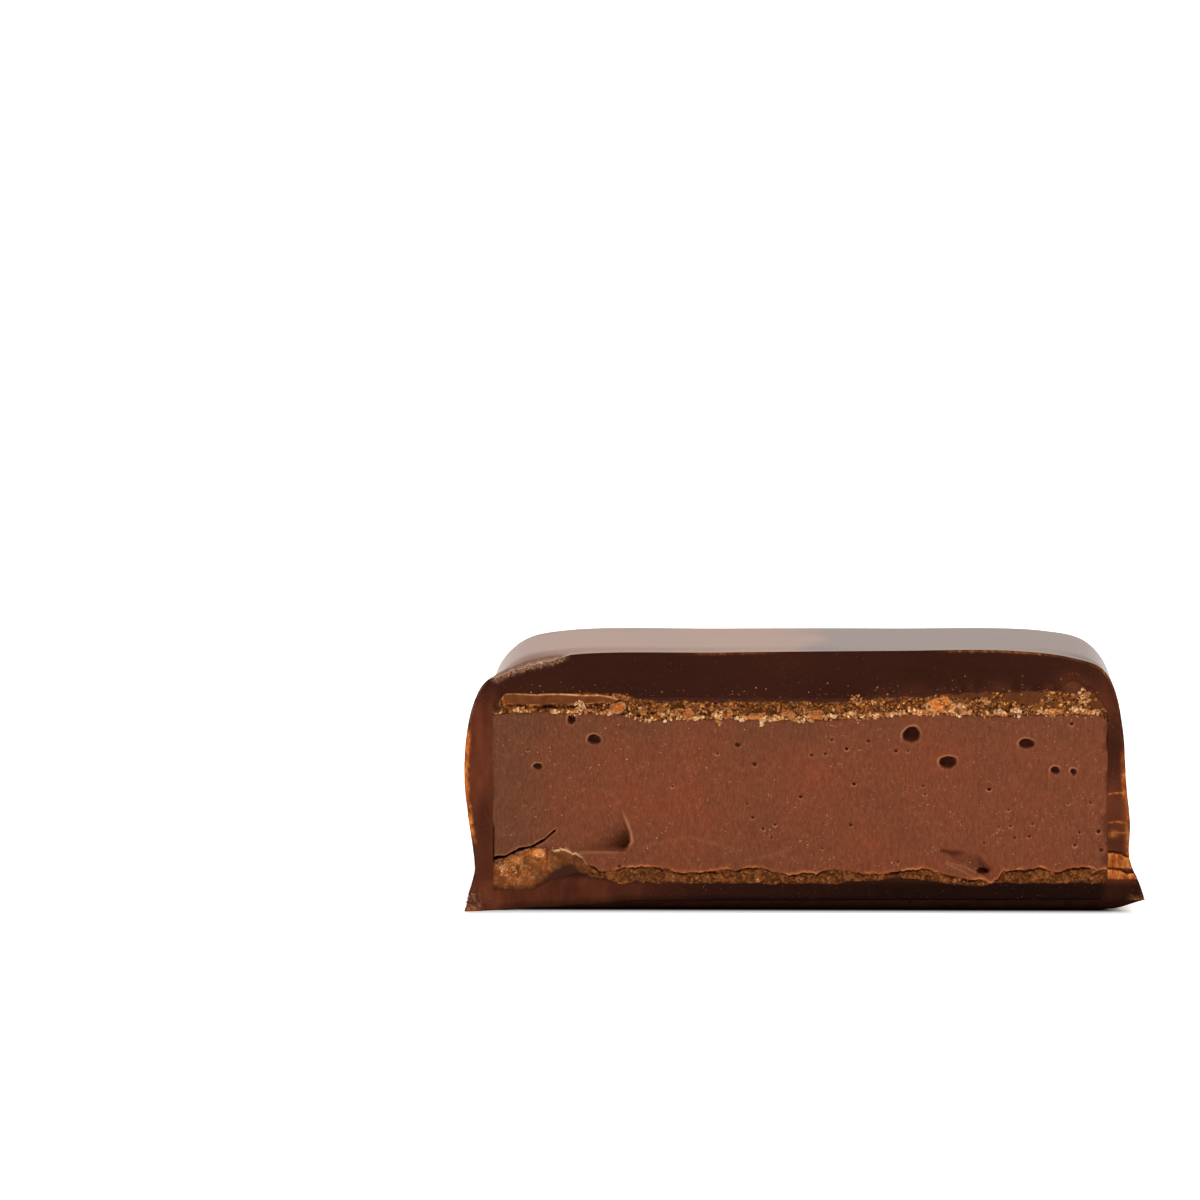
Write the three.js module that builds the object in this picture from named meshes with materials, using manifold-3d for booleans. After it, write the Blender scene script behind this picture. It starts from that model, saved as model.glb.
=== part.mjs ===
// One half of a square, slab-cut chocolate bonbon, cut straight down through its middle.
//
// A dark chocolate coat wraps a slab of ganache that carries a thin crumbly praline layer on its
// top and another on its base. Every layer runs from the cut face to the far wall of the coat.
//
// Millimetres, +Z up. The cut face looks along -Y, and the origin is the middle of the bottom of the
// bounding box. Heights are first drawn above the middle of the cut's foot line, and the board lies
// a little under that at BOARD, so the finished layers are moved up until the board is z = 0.

import * as THREE from "three";
import { mergeVertices } from "three/addons/utils/BufferGeometryUtils.js";
import Module from "manifold-3d";

const wasm = await Module();
wasm.setup();

// ---------------------------------------------------------------- driving dimensions

const DEPTH = 16; // from the cut face to the far wall: half of a 32 mm square
const CUT_Y = -DEPTH / 2;
const BACK_Y = DEPTH / 2;

const CUT_FADE = 2.4; // how far behind the cut face the knife has bent the coat out of shape
const BACK_CORNER = 1.7; // radius, seen from above, of the two upright corners
const BACK_EDGE = 2.5; // radius of the long edge between the top and the far wall
const BASE_EDGE = 0.9; // radius of the far wall's bottom edge

// The bonbon rests on one flat with four corners. Past it, the base stands FOOT_RISE off the board,
// and the knife has bent it further up along the cut.
const BOARD = -0.22;
const FLAT = { left: -14.4, right: 14.4, front: -5.8, back: 6.2 };
const FOOT_RISE = 0.06;
const FOOT_Z = BOARD + FOOT_RISE;
const BASE_FADE = 2.2;

const SLAB_LEFT = -15.18; // the filling, as the guitar wires cut it
const SLAB_RIGHT = 14.73;
const SLAB_BACK = BACK_Y - 1.15;
const GAP = 0.03; // between neighbouring layers
const COLUMNS = 76; // across every layer
const PAST = 1; // how far a cutting shape stands out of the cut face

const CRUMB_LEAST = 0.04; // the praline has crumbled back from the cut by this, and up to as much
const CRUMB_RECESS = 0.34; // again as this
const GANACHE_WAVE = 0.06; // the knife's drag on the soft ganache

// The coat's outline on the cut face, from the left foot over the top to the right foot, [x, z].
const CUT_OUTLINE = [
  [-16.61, -0.14], [-16.4, 0.73], [-16.11, 1.8], [-16.27, 3.54], [-16.56, 5.8], [-16.54, 8.1],
  [-16.15, 10], [-15.52, 11.12], [-13.97, 11.85], [-11.48, 12.42], [-4, 12.56],
  [4, 12.65], [10, 12.67], [12.82, 12.36], [14.39, 11.83], [15.02, 10.86],
  [15.49, 8.75], [15.64, 6.32], [15.85, 4.16], [15.84, 2.5], [16.33, 1.3], [16.61, 0.5],
];

// The cut's bottom edge, [x, z] from the left foot to the right one.
const CUT_BASE = [
  [-16.61, -0.14], [-14.6, -0.06], [-13.1, 0.08], [-10.5, 0.24], [-8, 0.4], [-2, 0.44],
  [6.4, 0.47], [16.61, 0.5],
];

// The outline that the walls keep behind the cut, each from its foot to the middle of the top.
const LEFT_WALL = [
  [-14.95, FOOT_Z], [-15.55, 0.45], [-15.88, 1.5], [-16.05, 3.4], [-16.08, 5.7], [-15.95, 7.9],
  [-15.65, 9.8], [-15.1, 11.1], [-13.95, 12.1], [-11.8, 12.55], [-4, 12.64],
];
const RIGHT_WALL = [
  [14.95, FOOT_Z], [15.4, 0.45], [15.65, 1.5], [15.72, 3.4], [15.7, 5.7], [15.58, 7.9],
  [15.35, 9.8], [14.9, 11.1], [13.9, 12.1], [11.8, 12.57], [4, 12.66],
];
const WALL_OUTLINE = [...LEFT_WALL, ...RIGHT_WALL.toReversed()];
const WALL_REACH = 16;
const WALL_TOP = 12.65;

// Soft lumps where the coat ran down a wall and set: side is -1, 0 (far wall) or 1.
const LUMPS = [
  { side: 1, along: 2.6, z: 4.2, reach: 1.3, tall: 3.4, out: 0.3 },
  { side: 1, along: 5.4, z: 1.2, reach: 1.6, tall: 1.3, out: 0.34 },
  { side: -1, along: 0.8, z: 2.2, reach: 2.2, tall: 1.9, out: 0.36 },
  { side: 0, along: -6.2, z: 2.4, reach: 2.4, tall: 2.2, out: -0.3 },
  { side: 0, along: 7.5, z: 5.0, reach: 2.0, tall: 3.2, out: -0.25 },
];

// Heights of the three surfaces between the layers, [x, z] across the cut face.
const COAT_ABOVE_FILLING = [
  [-15.2, 10.1], [-14.5, 10.56], [-9.2, 10.6], [-8, 10.38], [1.7, 10.36], [4.5, 10.6],
  [10, 10.7], [12.2, 10.78], [13, 11.25], [13.8, 10.95], [14.4, 10.25], [14.8, 9.6],
];
const PRALINE_ABOVE_GANACHE = [
  [-15.2, 9.5], [-13, 9.6], [-9.5, 9.55], [-7.5, 9.25], [-3, 9.3], [0, 9.22], [3, 9.38],
  [6, 9.56], [9, 9.45], [12, 9.56], [14.2, 9.5], [14.8, 9.25],
];
const GANACHE_ABOVE_PRALINE = [
  [-15.2, 2.29], [-14.15, 2.63], [-12.9, 3.02], [-11.85, 2.95], [-11.2, 2.7], [-10.35, 2.05],
  [-9.9, 1.85], [-8, 2.04], [-6.6, 1.98], [-6.2, 1.76], [-5.3, 1.78], [-2.4, 2], [-0.7, 1.7],
  [1.7, 1.9], [3.6, 1.72], [5.6, 2], [7, 1.6], [9.1, 1.5], [9.6, 1.86], [11.5, 2.06],
  [12.2, 1.84], [13.2, 2.04], [14.8, 1.98],
];
const PRALINE_ABOVE_COAT = [
  [-15.2, 0.9], [-13.4, 0.9], [-12, 1.5], [-11, 1.72], [-10.1, 1.5], [-9, 1.24], [1.2, 1.24],
  [2.7, 1.36], [5, 1.52], [7, 1.26], [8.4, 1.14], [9.5, 1.3], [14.8, 1.3],
];

// Air bubbles that the knife opened: where they show, and their width and height on the face.
const BUBBLES = [
  { x: -10.25, z: 8.3, wide: 0.7, tall: 0.52 },
  { x: -13.0, z: 6.98, wide: 0.48, tall: 0.36 },
  { x: -11.35, z: 9.28, wide: 0.52, tall: 0.5 },
  { x: 5.18, z: 8.56, wide: 0.94, tall: 0.84 },
  { x: 6.96, z: 7.22, wide: 0.9, tall: 0.7 },
  { x: 10.78, z: 8.14, wide: 0.84, tall: 0.6 },
  { x: 12.18, z: 6.84, wide: 0.5, tall: 0.42 },
  { x: 13.06, z: 6.76, wide: 0.36, tall: 0.36 },
];

const HOLLOW_IN = 0.06; // how far inside the face the middle of a bubble or chip lies

// Shallow chips in the coat's cut face, where it cracked under the knife.
const CHIPS = [
  { x: 15.2, z: 4.55, wide: 1.1, tall: 0.9, deep: 0.36 },
  { x: 15.3, z: 3.1, wide: 1.0, tall: 1.1, deep: 0.4 },
  { x: 15.7, z: 1.9, wide: 1.3, tall: 0.7, deep: 0.5 },
  { x: -14.3, z: 11.66, wide: 1.6, tall: 0.5, deep: 0.4, tilt: -0.4 },
  { x: -16.3, z: 6.6, wide: 0.7, tall: 2.2, deep: 0.36 },
];

// A lump of ganache came away with the knife here, and its dent is steepest at its right.
const DENT = { x: -9.5, z: 3.85, wide: 2.5, tall: 2.5, deep: 1.3, tilt: 0.3, turn: -0.42 };

// The crack between the ganache and the praline under it, [x, z, width] along its run.
const CRACK = [
  [-15.1, 2.52, 0.2], [-14.6, 2.6, 0.16], [-13.9, 2.98, 0.14], [-13.3, 3.16, 0.13],
  [-12.7, 3.42, 0.1], [-12.15, 3.9, 0.02],
];
const CRACK_DEEP = 1.1;

const NUGGET_THICK = 0.24; // half of every nugget's thickness

// Toasted nuggets large enough to see, fused into the upper praline layer.
const NUGGETS = [
  { x: 6.7, z: 9.95, wide: 1.5, tall: 0.74 },
  { x: 5.75, z: 9.62, wide: 0.9, tall: 0.34 },
  { x: -6.1, z: 9.62, wide: 1.2, tall: 0.4 },
  { x: -3.8, z: 9.62, wide: 0.62, tall: 0.58 },
  { x: -9.15, z: 9.8, wide: 0.66, tall: 0.6 },
  { x: -2.4, z: 9.46, wide: 0.7, tall: 0.36 },
  { x: -0.75, z: 9.54, wide: 0.6, tall: 0.4 },
  { x: 0.45, z: 9.5, wide: 0.86, tall: 0.42 },
  { x: 12.1, z: 9.66, wide: 0.9, tall: 0.4 },
  { x: 13.75, z: 10.3, wide: 0.6, tall: 0.7 },
];
// Crumbs of the same kind in the lump of praline that shows at the lower left.
const BASE_NUGGETS = [
  { x: -14.3, z: 2.0, wide: 1.3, tall: 0.7 },
  { x: -13.2, z: 2.55, wide: 1.1, tall: 0.6 },
  { x: -12.3, z: 2.2, wide: 0.8, tall: 0.5 },
  { x: 14.1, z: 1.62, wide: 0.9, tall: 0.4 },
];

// ---------------------------------------------------------------- small helpers

const clamp01 = (t) => Math.min(1, Math.max(0, t));
const smooth = (t) => clamp01(t) ** 2 * (3 - 2 * clamp01(t));
const bell = (t) => Math.exp(-t * t);

// A seeded draw in 0..1, the same every time.
function seeded(seed) {
  let state = seed;
  return () => {
    state = (state * 1664525 + 1013904223) % 4294967296;
    return state / 4294967296;
  };
}

// Height at x on a run of [x, z] points, eased between them.
function heightAt(run, x) {
  const last = run.length - 1;
  if (x <= run[0][0]) return run[0][1];
  for (let i = 0; i < last; i++) {
    const [x0, z0] = run[i];
    const [x1, z1] = run[i + 1];
    if (x <= x1) return z0 + (z1 - z0) * smooth((x - x0) / (x1 - x0));
  }
  return run[last][1];
}

// How far a rounded edge of this radius has drawn in, at a distance short of the far wall.
function drawnIn(y, radius) {
  const t = clamp01((y - (BACK_Y - radius)) / radius);
  return radius * (1 - Math.sqrt(1 - t * t));
}

function geometryOf(points, triangles) {
  const geometry = new THREE.BufferGeometry();
  geometry.setAttribute("position", new THREE.Float32BufferAttribute(points.flat(), 3));
  geometry.setIndex(triangles);
  return geometry;
}

// A closed geometry as a solid that can be joined and cut, and back again.
function solid(geometry) {
  const bare = geometry.clone();
  bare.deleteAttribute("normal");
  bare.deleteAttribute("uv");
  const merged = mergeVertices(bare, 1e-5);
  return new wasm.Manifold(
    new wasm.Mesh({
      numProp: 3,
      vertProperties: new Float32Array(merged.attributes.position.array),
      triVerts: new Uint32Array(merged.index.array),
    }),
  );
}

function geometryFrom(manifold) {
  const { vertProperties, triVerts } = manifold.getMesh();
  const geometry = new THREE.BufferGeometry();
  geometry.setAttribute("position", new THREE.BufferAttribute(new Float32Array(vertProperties), 3));
  geometry.setIndex([...triVerts]);
  geometry.computeVertexNormals();
  return geometry;
}

// ---------------------------------------------------------------- the coat's outer body

const AROUND = 66; // points over the coat from foot to foot
const UNDER = 12; // steps back along the base, across the flat
const RING_STOPS = [ // behind the cut face, close together where the coat curves
  0, 0.25, 0.6, 1, 1.6, 2.2, 3, 4.2, 5.5, 7, 8.5, 10, 11.3, 12.4, 13.4, 14.2, 14.7, 15.2, 15.55,
  15.8, 15.94, DEPTH,
];
const END_MIDDLE = 6.2; // height of the middle of the two end faces
const GRID = 0.002; // the skin's points lie on this grid, so that flat faces are exactly flat

// Where the lumps may show: from the foot up to below the shoulder, and not on the top.
const LUMP_FOOT = 1.5;
const LUMP_SHOULDER = 8;
const LUMP_FADE = 3;
const LUMP_INNER = 12;

// The coat's outline at a distance y, as a closed loop of [x, z].
function sectionAt(y) {
  const walls = smooth((y - CUT_Y) / CUT_FADE);
  const knots = CUT_OUTLINE.map(([x, z], i) => {
    const [wallX, wallZ] = WALL_OUTLINE[i];
    return new THREE.Vector3(x + (wallX - x) * walls, 0, z + (wallZ - z) * walls);
  });
  const over = new THREE.CatmullRomCurve3(knots, false, "centripetal");
  const loop = [];
  for (let i = 0; i <= AROUND; i++) {
    const p = over.getPoint(i / AROUND);
    loop.push([p.x, Math.max(FOOT_Z, p.z)]);
  }
  const settled = smooth((y - CUT_Y) / BASE_FADE);
  const onBoard = y > FLAT.front - 0.01 && y < FLAT.back + 0.01;
  for (let i = 0; i <= UNDER; i++) {
    const x = FLAT.right + ((FLAT.left - FLAT.right) * i) / UNDER;
    const cutZ = heightAt(CUT_BASE, x);
    loop.push([x, onBoard ? BOARD : cutZ + (FOOT_Z - cutZ) * settled]);
  }
  return loop;
}

function lumpOut(side, along, z) {
  return LUMPS.filter((lump) => lump.side === side).reduce(
    (sum, l) => sum + l.out * bell((along - l.along) / l.reach) * bell((z - l.z) / l.tall),
    0,
  );
}

// One ring of the coat's skin: the section at y, drawn in towards the far wall and lumped.
function ringAt(y) {
  const narrower = (WALL_REACH - drawnIn(y, BACK_CORNER)) / WALL_REACH;
  const lift = drawnIn(y, BASE_EDGE);
  const tall = WALL_TOP - BOARD;
  const lower = (tall - drawnIn(y, BACK_EDGE) - lift) / tall;
  const nearBack = smooth((y - (BACK_Y - BACK_CORNER)) / BACK_CORNER);
  const nearCut = smooth((y - CUT_Y) / CUT_FADE);
  return sectionAt(y).map(([x, z]) => {
    const side = Math.sign(x);
    const wall = smooth(z / LUMP_FOOT) * (1 - smooth((z - LUMP_SHOULDER) / LUMP_FADE));
    const upright = wall * smooth((Math.abs(x) - LUMP_INNER) / LUMP_FADE);
    const out = lumpOut(side, y, z) * upright * nearCut;
    const sunk = lumpOut(0, x, z) * nearBack * smooth(z / LUMP_FOOT);
    const point = [x * narrower + side * out, y + sunk, BOARD + lift + (z - BOARD) * lower];
    return point.map((value) => Math.round(value / GRID) * GRID);
  });
}

function bodyGeometry() {
  const rings = RING_STOPS.map((stop) => ringAt(CUT_Y + stop));
  const count = rings[0].length;
  const points = rings.flat();
  const triangles = [];
  for (let r = 0; r + 1 < rings.length; r++) {
    for (let i = 0; i < count; i++) {
      const next = (i + 1) % count;
      const [a, b] = [r * count + i, r * count + next];
      triangles.push(a, b, a + count, b, b + count, a + count);
    }
  }
  // Both ends are flat fans about their middle.
  const front = points.push([0, CUT_Y, END_MIDDLE]) - 1;
  const back = points.push([0, BACK_Y, END_MIDDLE]) - 1;
  const lastRing = (rings.length - 1) * count;
  for (let i = 0; i < count; i++) {
    const next = (i + 1) % count;
    triangles.push(front, next, i, back, lastRing + i, lastRing + next);
  }
  return geometryOf(points, triangles);
}

// ---------------------------------------------------------------- layers

// A layer right across the slab, between two heights, with a relief for a front. Every layer has
// the same columns, so that neighbours follow one line. wider pushes the two ends and the back out.
function layerGeometry({ low, high, front, rows, wider = 0 }) {
  const back = SLAB_BACK + wider;
  const points = [];
  for (let i = 0; i <= COLUMNS; i++) {
    const lineX = SLAB_LEFT + ((SLAB_RIGHT - SLAB_LEFT) * i) / COLUMNS;
    const x = lineX + (i === 0 ? -wider : 0) + (i === COLUMNS ? wider : 0);
    const [lowZ, highZ] = [low(lineX), high(lineX)];
    for (let j = 0; j <= rows; j++) {
      const z = lowZ + ((highZ - lowZ) * j) / rows;
      points.push([x, front(x, z, j / rows), z]);
    }
    points.push([x, back, lowZ], [x, back, highZ]);
  }
  const stride = rows + 3;
  const at = (i, j) => i * stride + j;
  const [farLow, farHigh] = [rows + 1, rows + 2];
  const triangles = [];
  const quad = (a, b, c, d) => triangles.push(a, b, c, a, c, d);
  for (let i = 0; i < COLUMNS; i++) {
    for (let j = 0; j < rows; j++) quad(at(i, j), at(i + 1, j), at(i + 1, j + 1), at(i, j + 1));
    quad(at(i, rows), at(i + 1, rows), at(i + 1, farHigh), at(i, farHigh));
    quad(at(i, farLow), at(i + 1, farLow), at(i + 1, 0), at(i, 0));
    quad(at(i, farHigh), at(i + 1, farHigh), at(i + 1, farLow), at(i, farLow));
  }
  for (let j = 0; j < rows; j++) {
    triangles.push(at(0, farLow), at(0, j), at(0, j + 1));
    triangles.push(at(COLUMNS, farLow), at(COLUMNS, j + 1), at(COLUMNS, j));
  }
  triangles.push(at(0, farLow), at(0, rows), at(0, farHigh));
  triangles.push(at(COLUMNS, farLow), at(COLUMNS, farHigh), at(COLUMNS, rows));
  return geometryOf(points, triangles);
}

// The space in the coat for the whole filling, open at the cut face.
function fillingSpace() {
  return layerGeometry({
    low: (x) => heightAt(PRALINE_ABOVE_COAT, x) - GAP,
    high: (x) => heightAt(COAT_ABOVE_FILLING, x) + GAP,
    front: () => CUT_Y - PAST,
    rows: 1,
    wider: GAP,
  });
}

// Crumbled praline: every grid point of the face has dropped back by a seeded amount.
function pralineLayer({ low, high, seed, nuggets, rows }) {
  const draw = seeded(seed);
  const crumbled = (x, z, t) => {
    const edge = t === 0 || t === 1;
    return CUT_Y + CRUMB_LEAST + (edge ? CRUMB_RECESS / 3 : CRUMB_RECESS) * draw();
  };
  const layer = solid(layerGeometry({ low, high, front: crumbled, rows }));
  const room = solid(layerGeometry({ low, high, front: () => CUT_Y, rows: 1 }));
  const lumps = nuggets.map((nugget) => nuggetSolid(nugget, draw));
  return geometryFrom(wasm.Manifold.union([layer, ...lumps]).intersect(room));
}

// One nugget: a ball pulled out of round by a seeded amount.
function nuggetSolid({ x, z, wide, tall }, draw) {
  const ball = mergeVertices(bareBall(1, 1));
  const place = ball.attributes.position;
  for (let i = 0; i < place.count; i++) {
    const swell = 0.85 + 0.3 * draw();
    place.setXYZ(
      i,
      x + (place.getX(i) * wide * swell) / 2,
      CUT_Y + NUGGET_THICK * (1 + place.getY(i) * swell),
      z + (place.getZ(i) * tall * swell) / 2,
    );
  }
  return solid(ball);
}

function bareBall(radius, detail) {
  const ball = new THREE.IcosahedronGeometry(radius, detail);
  ball.deleteAttribute("normal");
  ball.deleteAttribute("uv");
  return ball;
}

// An egg-shaped hollow in the cut face, tilted in the face and turned to be steep on one side.
function hollow({ x, z, wide, tall, deep = wide * 0.8, tilt = 0, turn = 0 }, detail) {
  const ball = bareBall(0.5, detail);
  ball.scale(wide, deep, tall);
  ball.rotateY(tilt);
  ball.rotateZ(turn);
  ball.translate(x, CUT_Y + HOLLOW_IN, z);
  return solid(ball);
}

function crackSolid() {
  const upper = CRACK.map(([x, z, width]) => new THREE.Vector2(x, z + width / 2));
  const lower = CRACK.map(([x, z, width]) => new THREE.Vector2(x, z - width / 2)).reverse();
  const wedge = new THREE.ExtrudeGeometry(new THREE.Shape([...upper, ...lower]), {
    depth: CRACK_DEEP + PAST,
    bevelEnabled: false,
  });
  wedge.rotateX(Math.PI / 2); // the outline's y becomes z, and the extrusion runs along -Y
  wedge.translate(0, CUT_Y + CRACK_DEEP, 0);
  return solid(wedge);
}

function ganacheGeometry() {
  const wave = (x, z) =>
    GANACHE_WAVE * (1 + 0.6 * Math.sin(0.8 * x + 0.5 * z) + 0.4 * Math.sin(2.1 * x - 0.9 * z));
  const slab = layerGeometry({
    low: (x) => heightAt(GANACHE_ABOVE_PRALINE, x) + GAP,
    high: (x) => heightAt(PRALINE_ABOVE_GANACHE, x) - GAP,
    front: (x, z) => CUT_Y + wave(x, z) / 2,
    rows: 9,
  });
  const hollows = [
    ...BUBBLES.map((bubble) => hollow(bubble, 2)),
    hollow(DENT, 3),
    crackSolid(),
  ];
  return geometryFrom(solid(slab).subtract(wasm.Manifold.union(hollows)));
}

// ---------------------------------------------------------------- the object

function namedMesh(name, geometry, colour, roughness) {
  geometry.translate(0, 0, -BOARD);
  const material = new THREE.MeshStandardMaterial({ color: colour, roughness, metalness: 0 });
  const mesh = new THREE.Mesh(geometry, material);
  mesh.name = name;
  return mesh;
}

const chipped = wasm.Manifold.union(CHIPS.map((chip) => hollow(chip, 1)));
const coat = geometryFrom(
  solid(bodyGeometry()).subtract(solid(fillingSpace())).subtract(chipped),
);

const pralineTop = pralineLayer({
  low: (x) => heightAt(PRALINE_ABOVE_GANACHE, x),
  high: (x) => heightAt(COAT_ABOVE_FILLING, x),
  seed: 7,
  nuggets: NUGGETS,
  rows: 3,
});
const pralineBase = pralineLayer({
  low: (x) => heightAt(PRALINE_ABOVE_COAT, x),
  high: (x) => heightAt(GANACHE_ABOVE_PRALINE, x),
  seed: 23,
  nuggets: BASE_NUGGETS,
  rows: 2,
});

const bonbon = new THREE.Group();
bonbon.add(
  namedMesh("coat", coat, 0x4a2a20, 0.3),
  namedMesh("ganache", ganacheGeometry(), 0x7a4530, 0.6),
  namedMesh("praline_top", pralineTop, 0x96602f, 0.8),
  namedMesh("praline_base", pralineBase, 0x8a5428, 0.8),
);

export default bonbon;
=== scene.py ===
# One half of a square chocolate bonbon, cut down through its middle. This script dresses the packed
# solids: the coat with its marbled gloss, its cut rim and its matte base, the ganache with its
# bubbles and knife marks, the two crumbly praline layers, and the loose crumbs that the knife left.
#
# Every size and place is in millimetres, as the real thing, and MM turns it into metres.
# x runs along the cut face to the right, y from the cut face to the far wall, z up. Heights are
# drawn above the middle of the cut's foot line, and the board lies a little under that, at BOARD.

import functools
import math

import bmesh
import bpy
import numpy as np
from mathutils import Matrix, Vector


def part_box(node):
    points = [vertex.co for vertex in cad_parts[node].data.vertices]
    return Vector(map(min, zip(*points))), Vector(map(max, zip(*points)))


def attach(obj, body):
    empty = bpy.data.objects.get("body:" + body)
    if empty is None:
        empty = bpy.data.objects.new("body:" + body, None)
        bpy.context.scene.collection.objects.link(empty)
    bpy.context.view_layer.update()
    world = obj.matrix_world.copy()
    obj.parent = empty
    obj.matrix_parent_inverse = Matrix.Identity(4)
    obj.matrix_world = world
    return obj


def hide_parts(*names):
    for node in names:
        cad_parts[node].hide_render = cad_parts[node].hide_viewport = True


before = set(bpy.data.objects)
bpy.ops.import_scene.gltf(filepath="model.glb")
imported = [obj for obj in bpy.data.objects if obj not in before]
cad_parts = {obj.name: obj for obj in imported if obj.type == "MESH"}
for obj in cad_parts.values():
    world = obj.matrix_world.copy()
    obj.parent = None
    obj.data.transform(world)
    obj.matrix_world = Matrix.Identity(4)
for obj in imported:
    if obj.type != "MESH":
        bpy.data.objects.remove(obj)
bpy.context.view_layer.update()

MM = 0.001
BODY = "root"


# ------------------------------------------------------------------ sizes taken from the frame

def box_mm(node):
    return [np.array(corner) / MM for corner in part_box(node)]


COAT_LOW, COAT_HIGH = box_mm("coat")
SLAB_LOW, SLAB_HIGH = box_mm("ganache")
CUT_Y = COAT_LOW[1]
BACK_Y = COAT_HIGH[1]
SLAB_LEFT = SLAB_LOW[0]
SLAB_RIGHT = SLAB_HIGH[0]
SLAB_BACK = SLAB_HIGH[1]

# ------------------------------------------------------------------ the coat's form

CUT_FADE = 2.4  # how far behind the cut the knife has bent the coat out of shape
BACK_CORNER = 1.7  # radius, seen from above, of the two upright corners
BACK_EDGE = 2.5  # radius of the long edge between the top and the far wall
BASE_EDGE = 0.9  # radius of the far wall's bottom edge
BOARD = -0.22
FLAT = {"reach": 14.4, "front": -5.8, "back": 6.2}  # the flat that the bonbon rests on
FOOT_Z = BOARD + 0.06  # past the flat, the base stands a little off the board
BASE_FADE = 2.2  # and the knife has bent it further up, this far behind the cut
END_MIDDLE = 6.2  # height of the middle of the far wall

# The coat's outline on the cut face, from the left foot over the top to the right foot, [x, z].
CUT_OUTLINE = np.array([
    [-16.61, -0.14], [-16.4, 0.73], [-16.11, 1.8], [-16.27, 3.54], [-16.56, 5.8], [-16.54, 8.1],
    [-16.15, 10], [-15.52, 11.12], [-13.97, 11.85], [-11.48, 12.42], [-4, 12.56],
    [4, 12.65], [10, 12.67], [12.82, 12.36], [14.39, 11.83], [15.02, 10.86],
    [15.49, 8.75], [15.64, 6.32], [15.85, 4.16], [15.84, 2.5], [16.33, 1.3], [16.61, 0.5],
])

# The cut's bottom edge, [x, z] from the left foot to the right one.
CUT_BASE = np.array([
    [-16.61, -0.14], [-14.6, -0.06], [-13.1, 0.08], [-10.5, 0.24], [-8, 0.4], [-2, 0.44],
    [6.4, 0.47], [16.61, 0.5],
])

# The outline that the walls keep behind the cut, each from its foot to the middle of the top.
LEFT_WALL = np.array([
    [-14.95, FOOT_Z], [-15.55, 0.45], [-15.88, 1.5], [-16.05, 3.4], [-16.08, 5.7], [-15.95, 7.9],
    [-15.65, 9.8], [-15.1, 11.1], [-13.95, 12.1], [-11.8, 12.55], [-4, 12.64],
])
RIGHT_WALL = np.array([
    [14.95, FOOT_Z], [15.4, 0.45], [15.65, 1.5], [15.72, 3.4], [15.7, 5.7], [15.58, 7.9],
    [15.35, 9.8], [14.9, 11.1], [13.9, 12.1], [11.8, 12.57], [4, 12.66],
])
WALL_OUTLINE = np.concatenate([LEFT_WALL, RIGHT_WALL[::-1]])
WALL_REACH = 16
WALL_TOP = 12.65

# Soft lumps where the coat ran down a wall and set: side is -1, 0 (far wall) or 1.
LUMPS = [
    {"side": 1, "along": 2.6, "z": 4.2, "reach": 1.3, "tall": 3.4, "out": 0.3},
    {"side": 1, "along": 5.4, "z": 1.2, "reach": 1.6, "tall": 1.3, "out": 0.34},
    {"side": -1, "along": 0.8, "z": 2.2, "reach": 2.2, "tall": 1.9, "out": 0.36},
    {"side": 0, "along": -6.2, "z": 2.4, "reach": 2.4, "tall": 2.2, "out": -0.3},
    {"side": 0, "along": 7.5, "z": 5.0, "reach": 2.0, "tall": 3.2, "out": -0.25},
]
LUMP_FOOT = 1.5  # the lumps show from the foot up to below the shoulder
LUMP_SHOULDER = 8
LUMP_FADE = 3
LUMP_INNER = 12

# Knots of the outline that stand over the filling's corners, with the filling's own corners.
CORNER_KNOTS = [0, 6, 8, 13, 15, 21]
FILLING_CORNERS = np.array([
    [SLAB_LEFT, 0.9], [SLAB_LEFT, 9.4], [-14.3, 10.57], [13.0, 11.25], [14.55, 10.0],
    [SLAB_RIGHT, 1.3],
])

# ------------------------------------------------------------------ the layers' heights, [x, z]

COAT_ABOVE_FILLING = np.array([
    [-15.2, 10.1], [-14.5, 10.56], [-9.2, 10.6], [-8, 10.38], [1.7, 10.36], [4.5, 10.6],
    [10, 10.7], [12.2, 10.78], [13, 11.25], [13.8, 10.95], [14.4, 10.25], [14.8, 9.6],
])
PRALINE_ABOVE_GANACHE = np.array([
    [-15.2, 9.5], [-13, 9.6], [-9.5, 9.55], [-7.5, 9.25], [-3, 9.3], [0, 9.22], [3, 9.38],
    [6, 9.56], [9, 9.45], [12, 9.56], [14.2, 9.5], [14.8, 9.25],
])
GANACHE_ABOVE_PRALINE = np.array([
    [-15.2, 2.29], [-14.15, 2.63], [-12.9, 3.02], [-11.85, 2.95], [-11.2, 2.7], [-10.35, 2.05],
    [-9.9, 1.85], [-8, 2.04], [-6.6, 1.98], [-6.2, 1.76], [-5.3, 1.78], [-2.4, 2], [-0.7, 1.7],
    [1.7, 1.9], [3.6, 1.72], [5.6, 2], [7, 1.6], [8.4, 1.5], [9.1, 1.26], [9.35, 1.5],
    [9.7, 1.86], [11.5, 2.06], [12.2, 1.84], [13.2, 2.04], [14.8, 1.98],
])
PRALINE_ABOVE_COAT = np.array([
    [-15.2, 0.9], [-13.4, 0.9], [-12, 1.5], [-11, 1.72], [-10.1, 1.5], [-9, 1.24], [1.2, 1.24],
    [2.7, 1.36], [5, 1.52], [7, 1.26], [8.4, 1.14], [9.5, 1.3], [14.8, 1.3],
])
RAGGED = 0.035  # how far the crumbs push each of these lines up or down
SEAM = 0.004  # half of the gap between neighbouring layers

# ------------------------------------------------------------------ marks on the cut face

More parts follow.
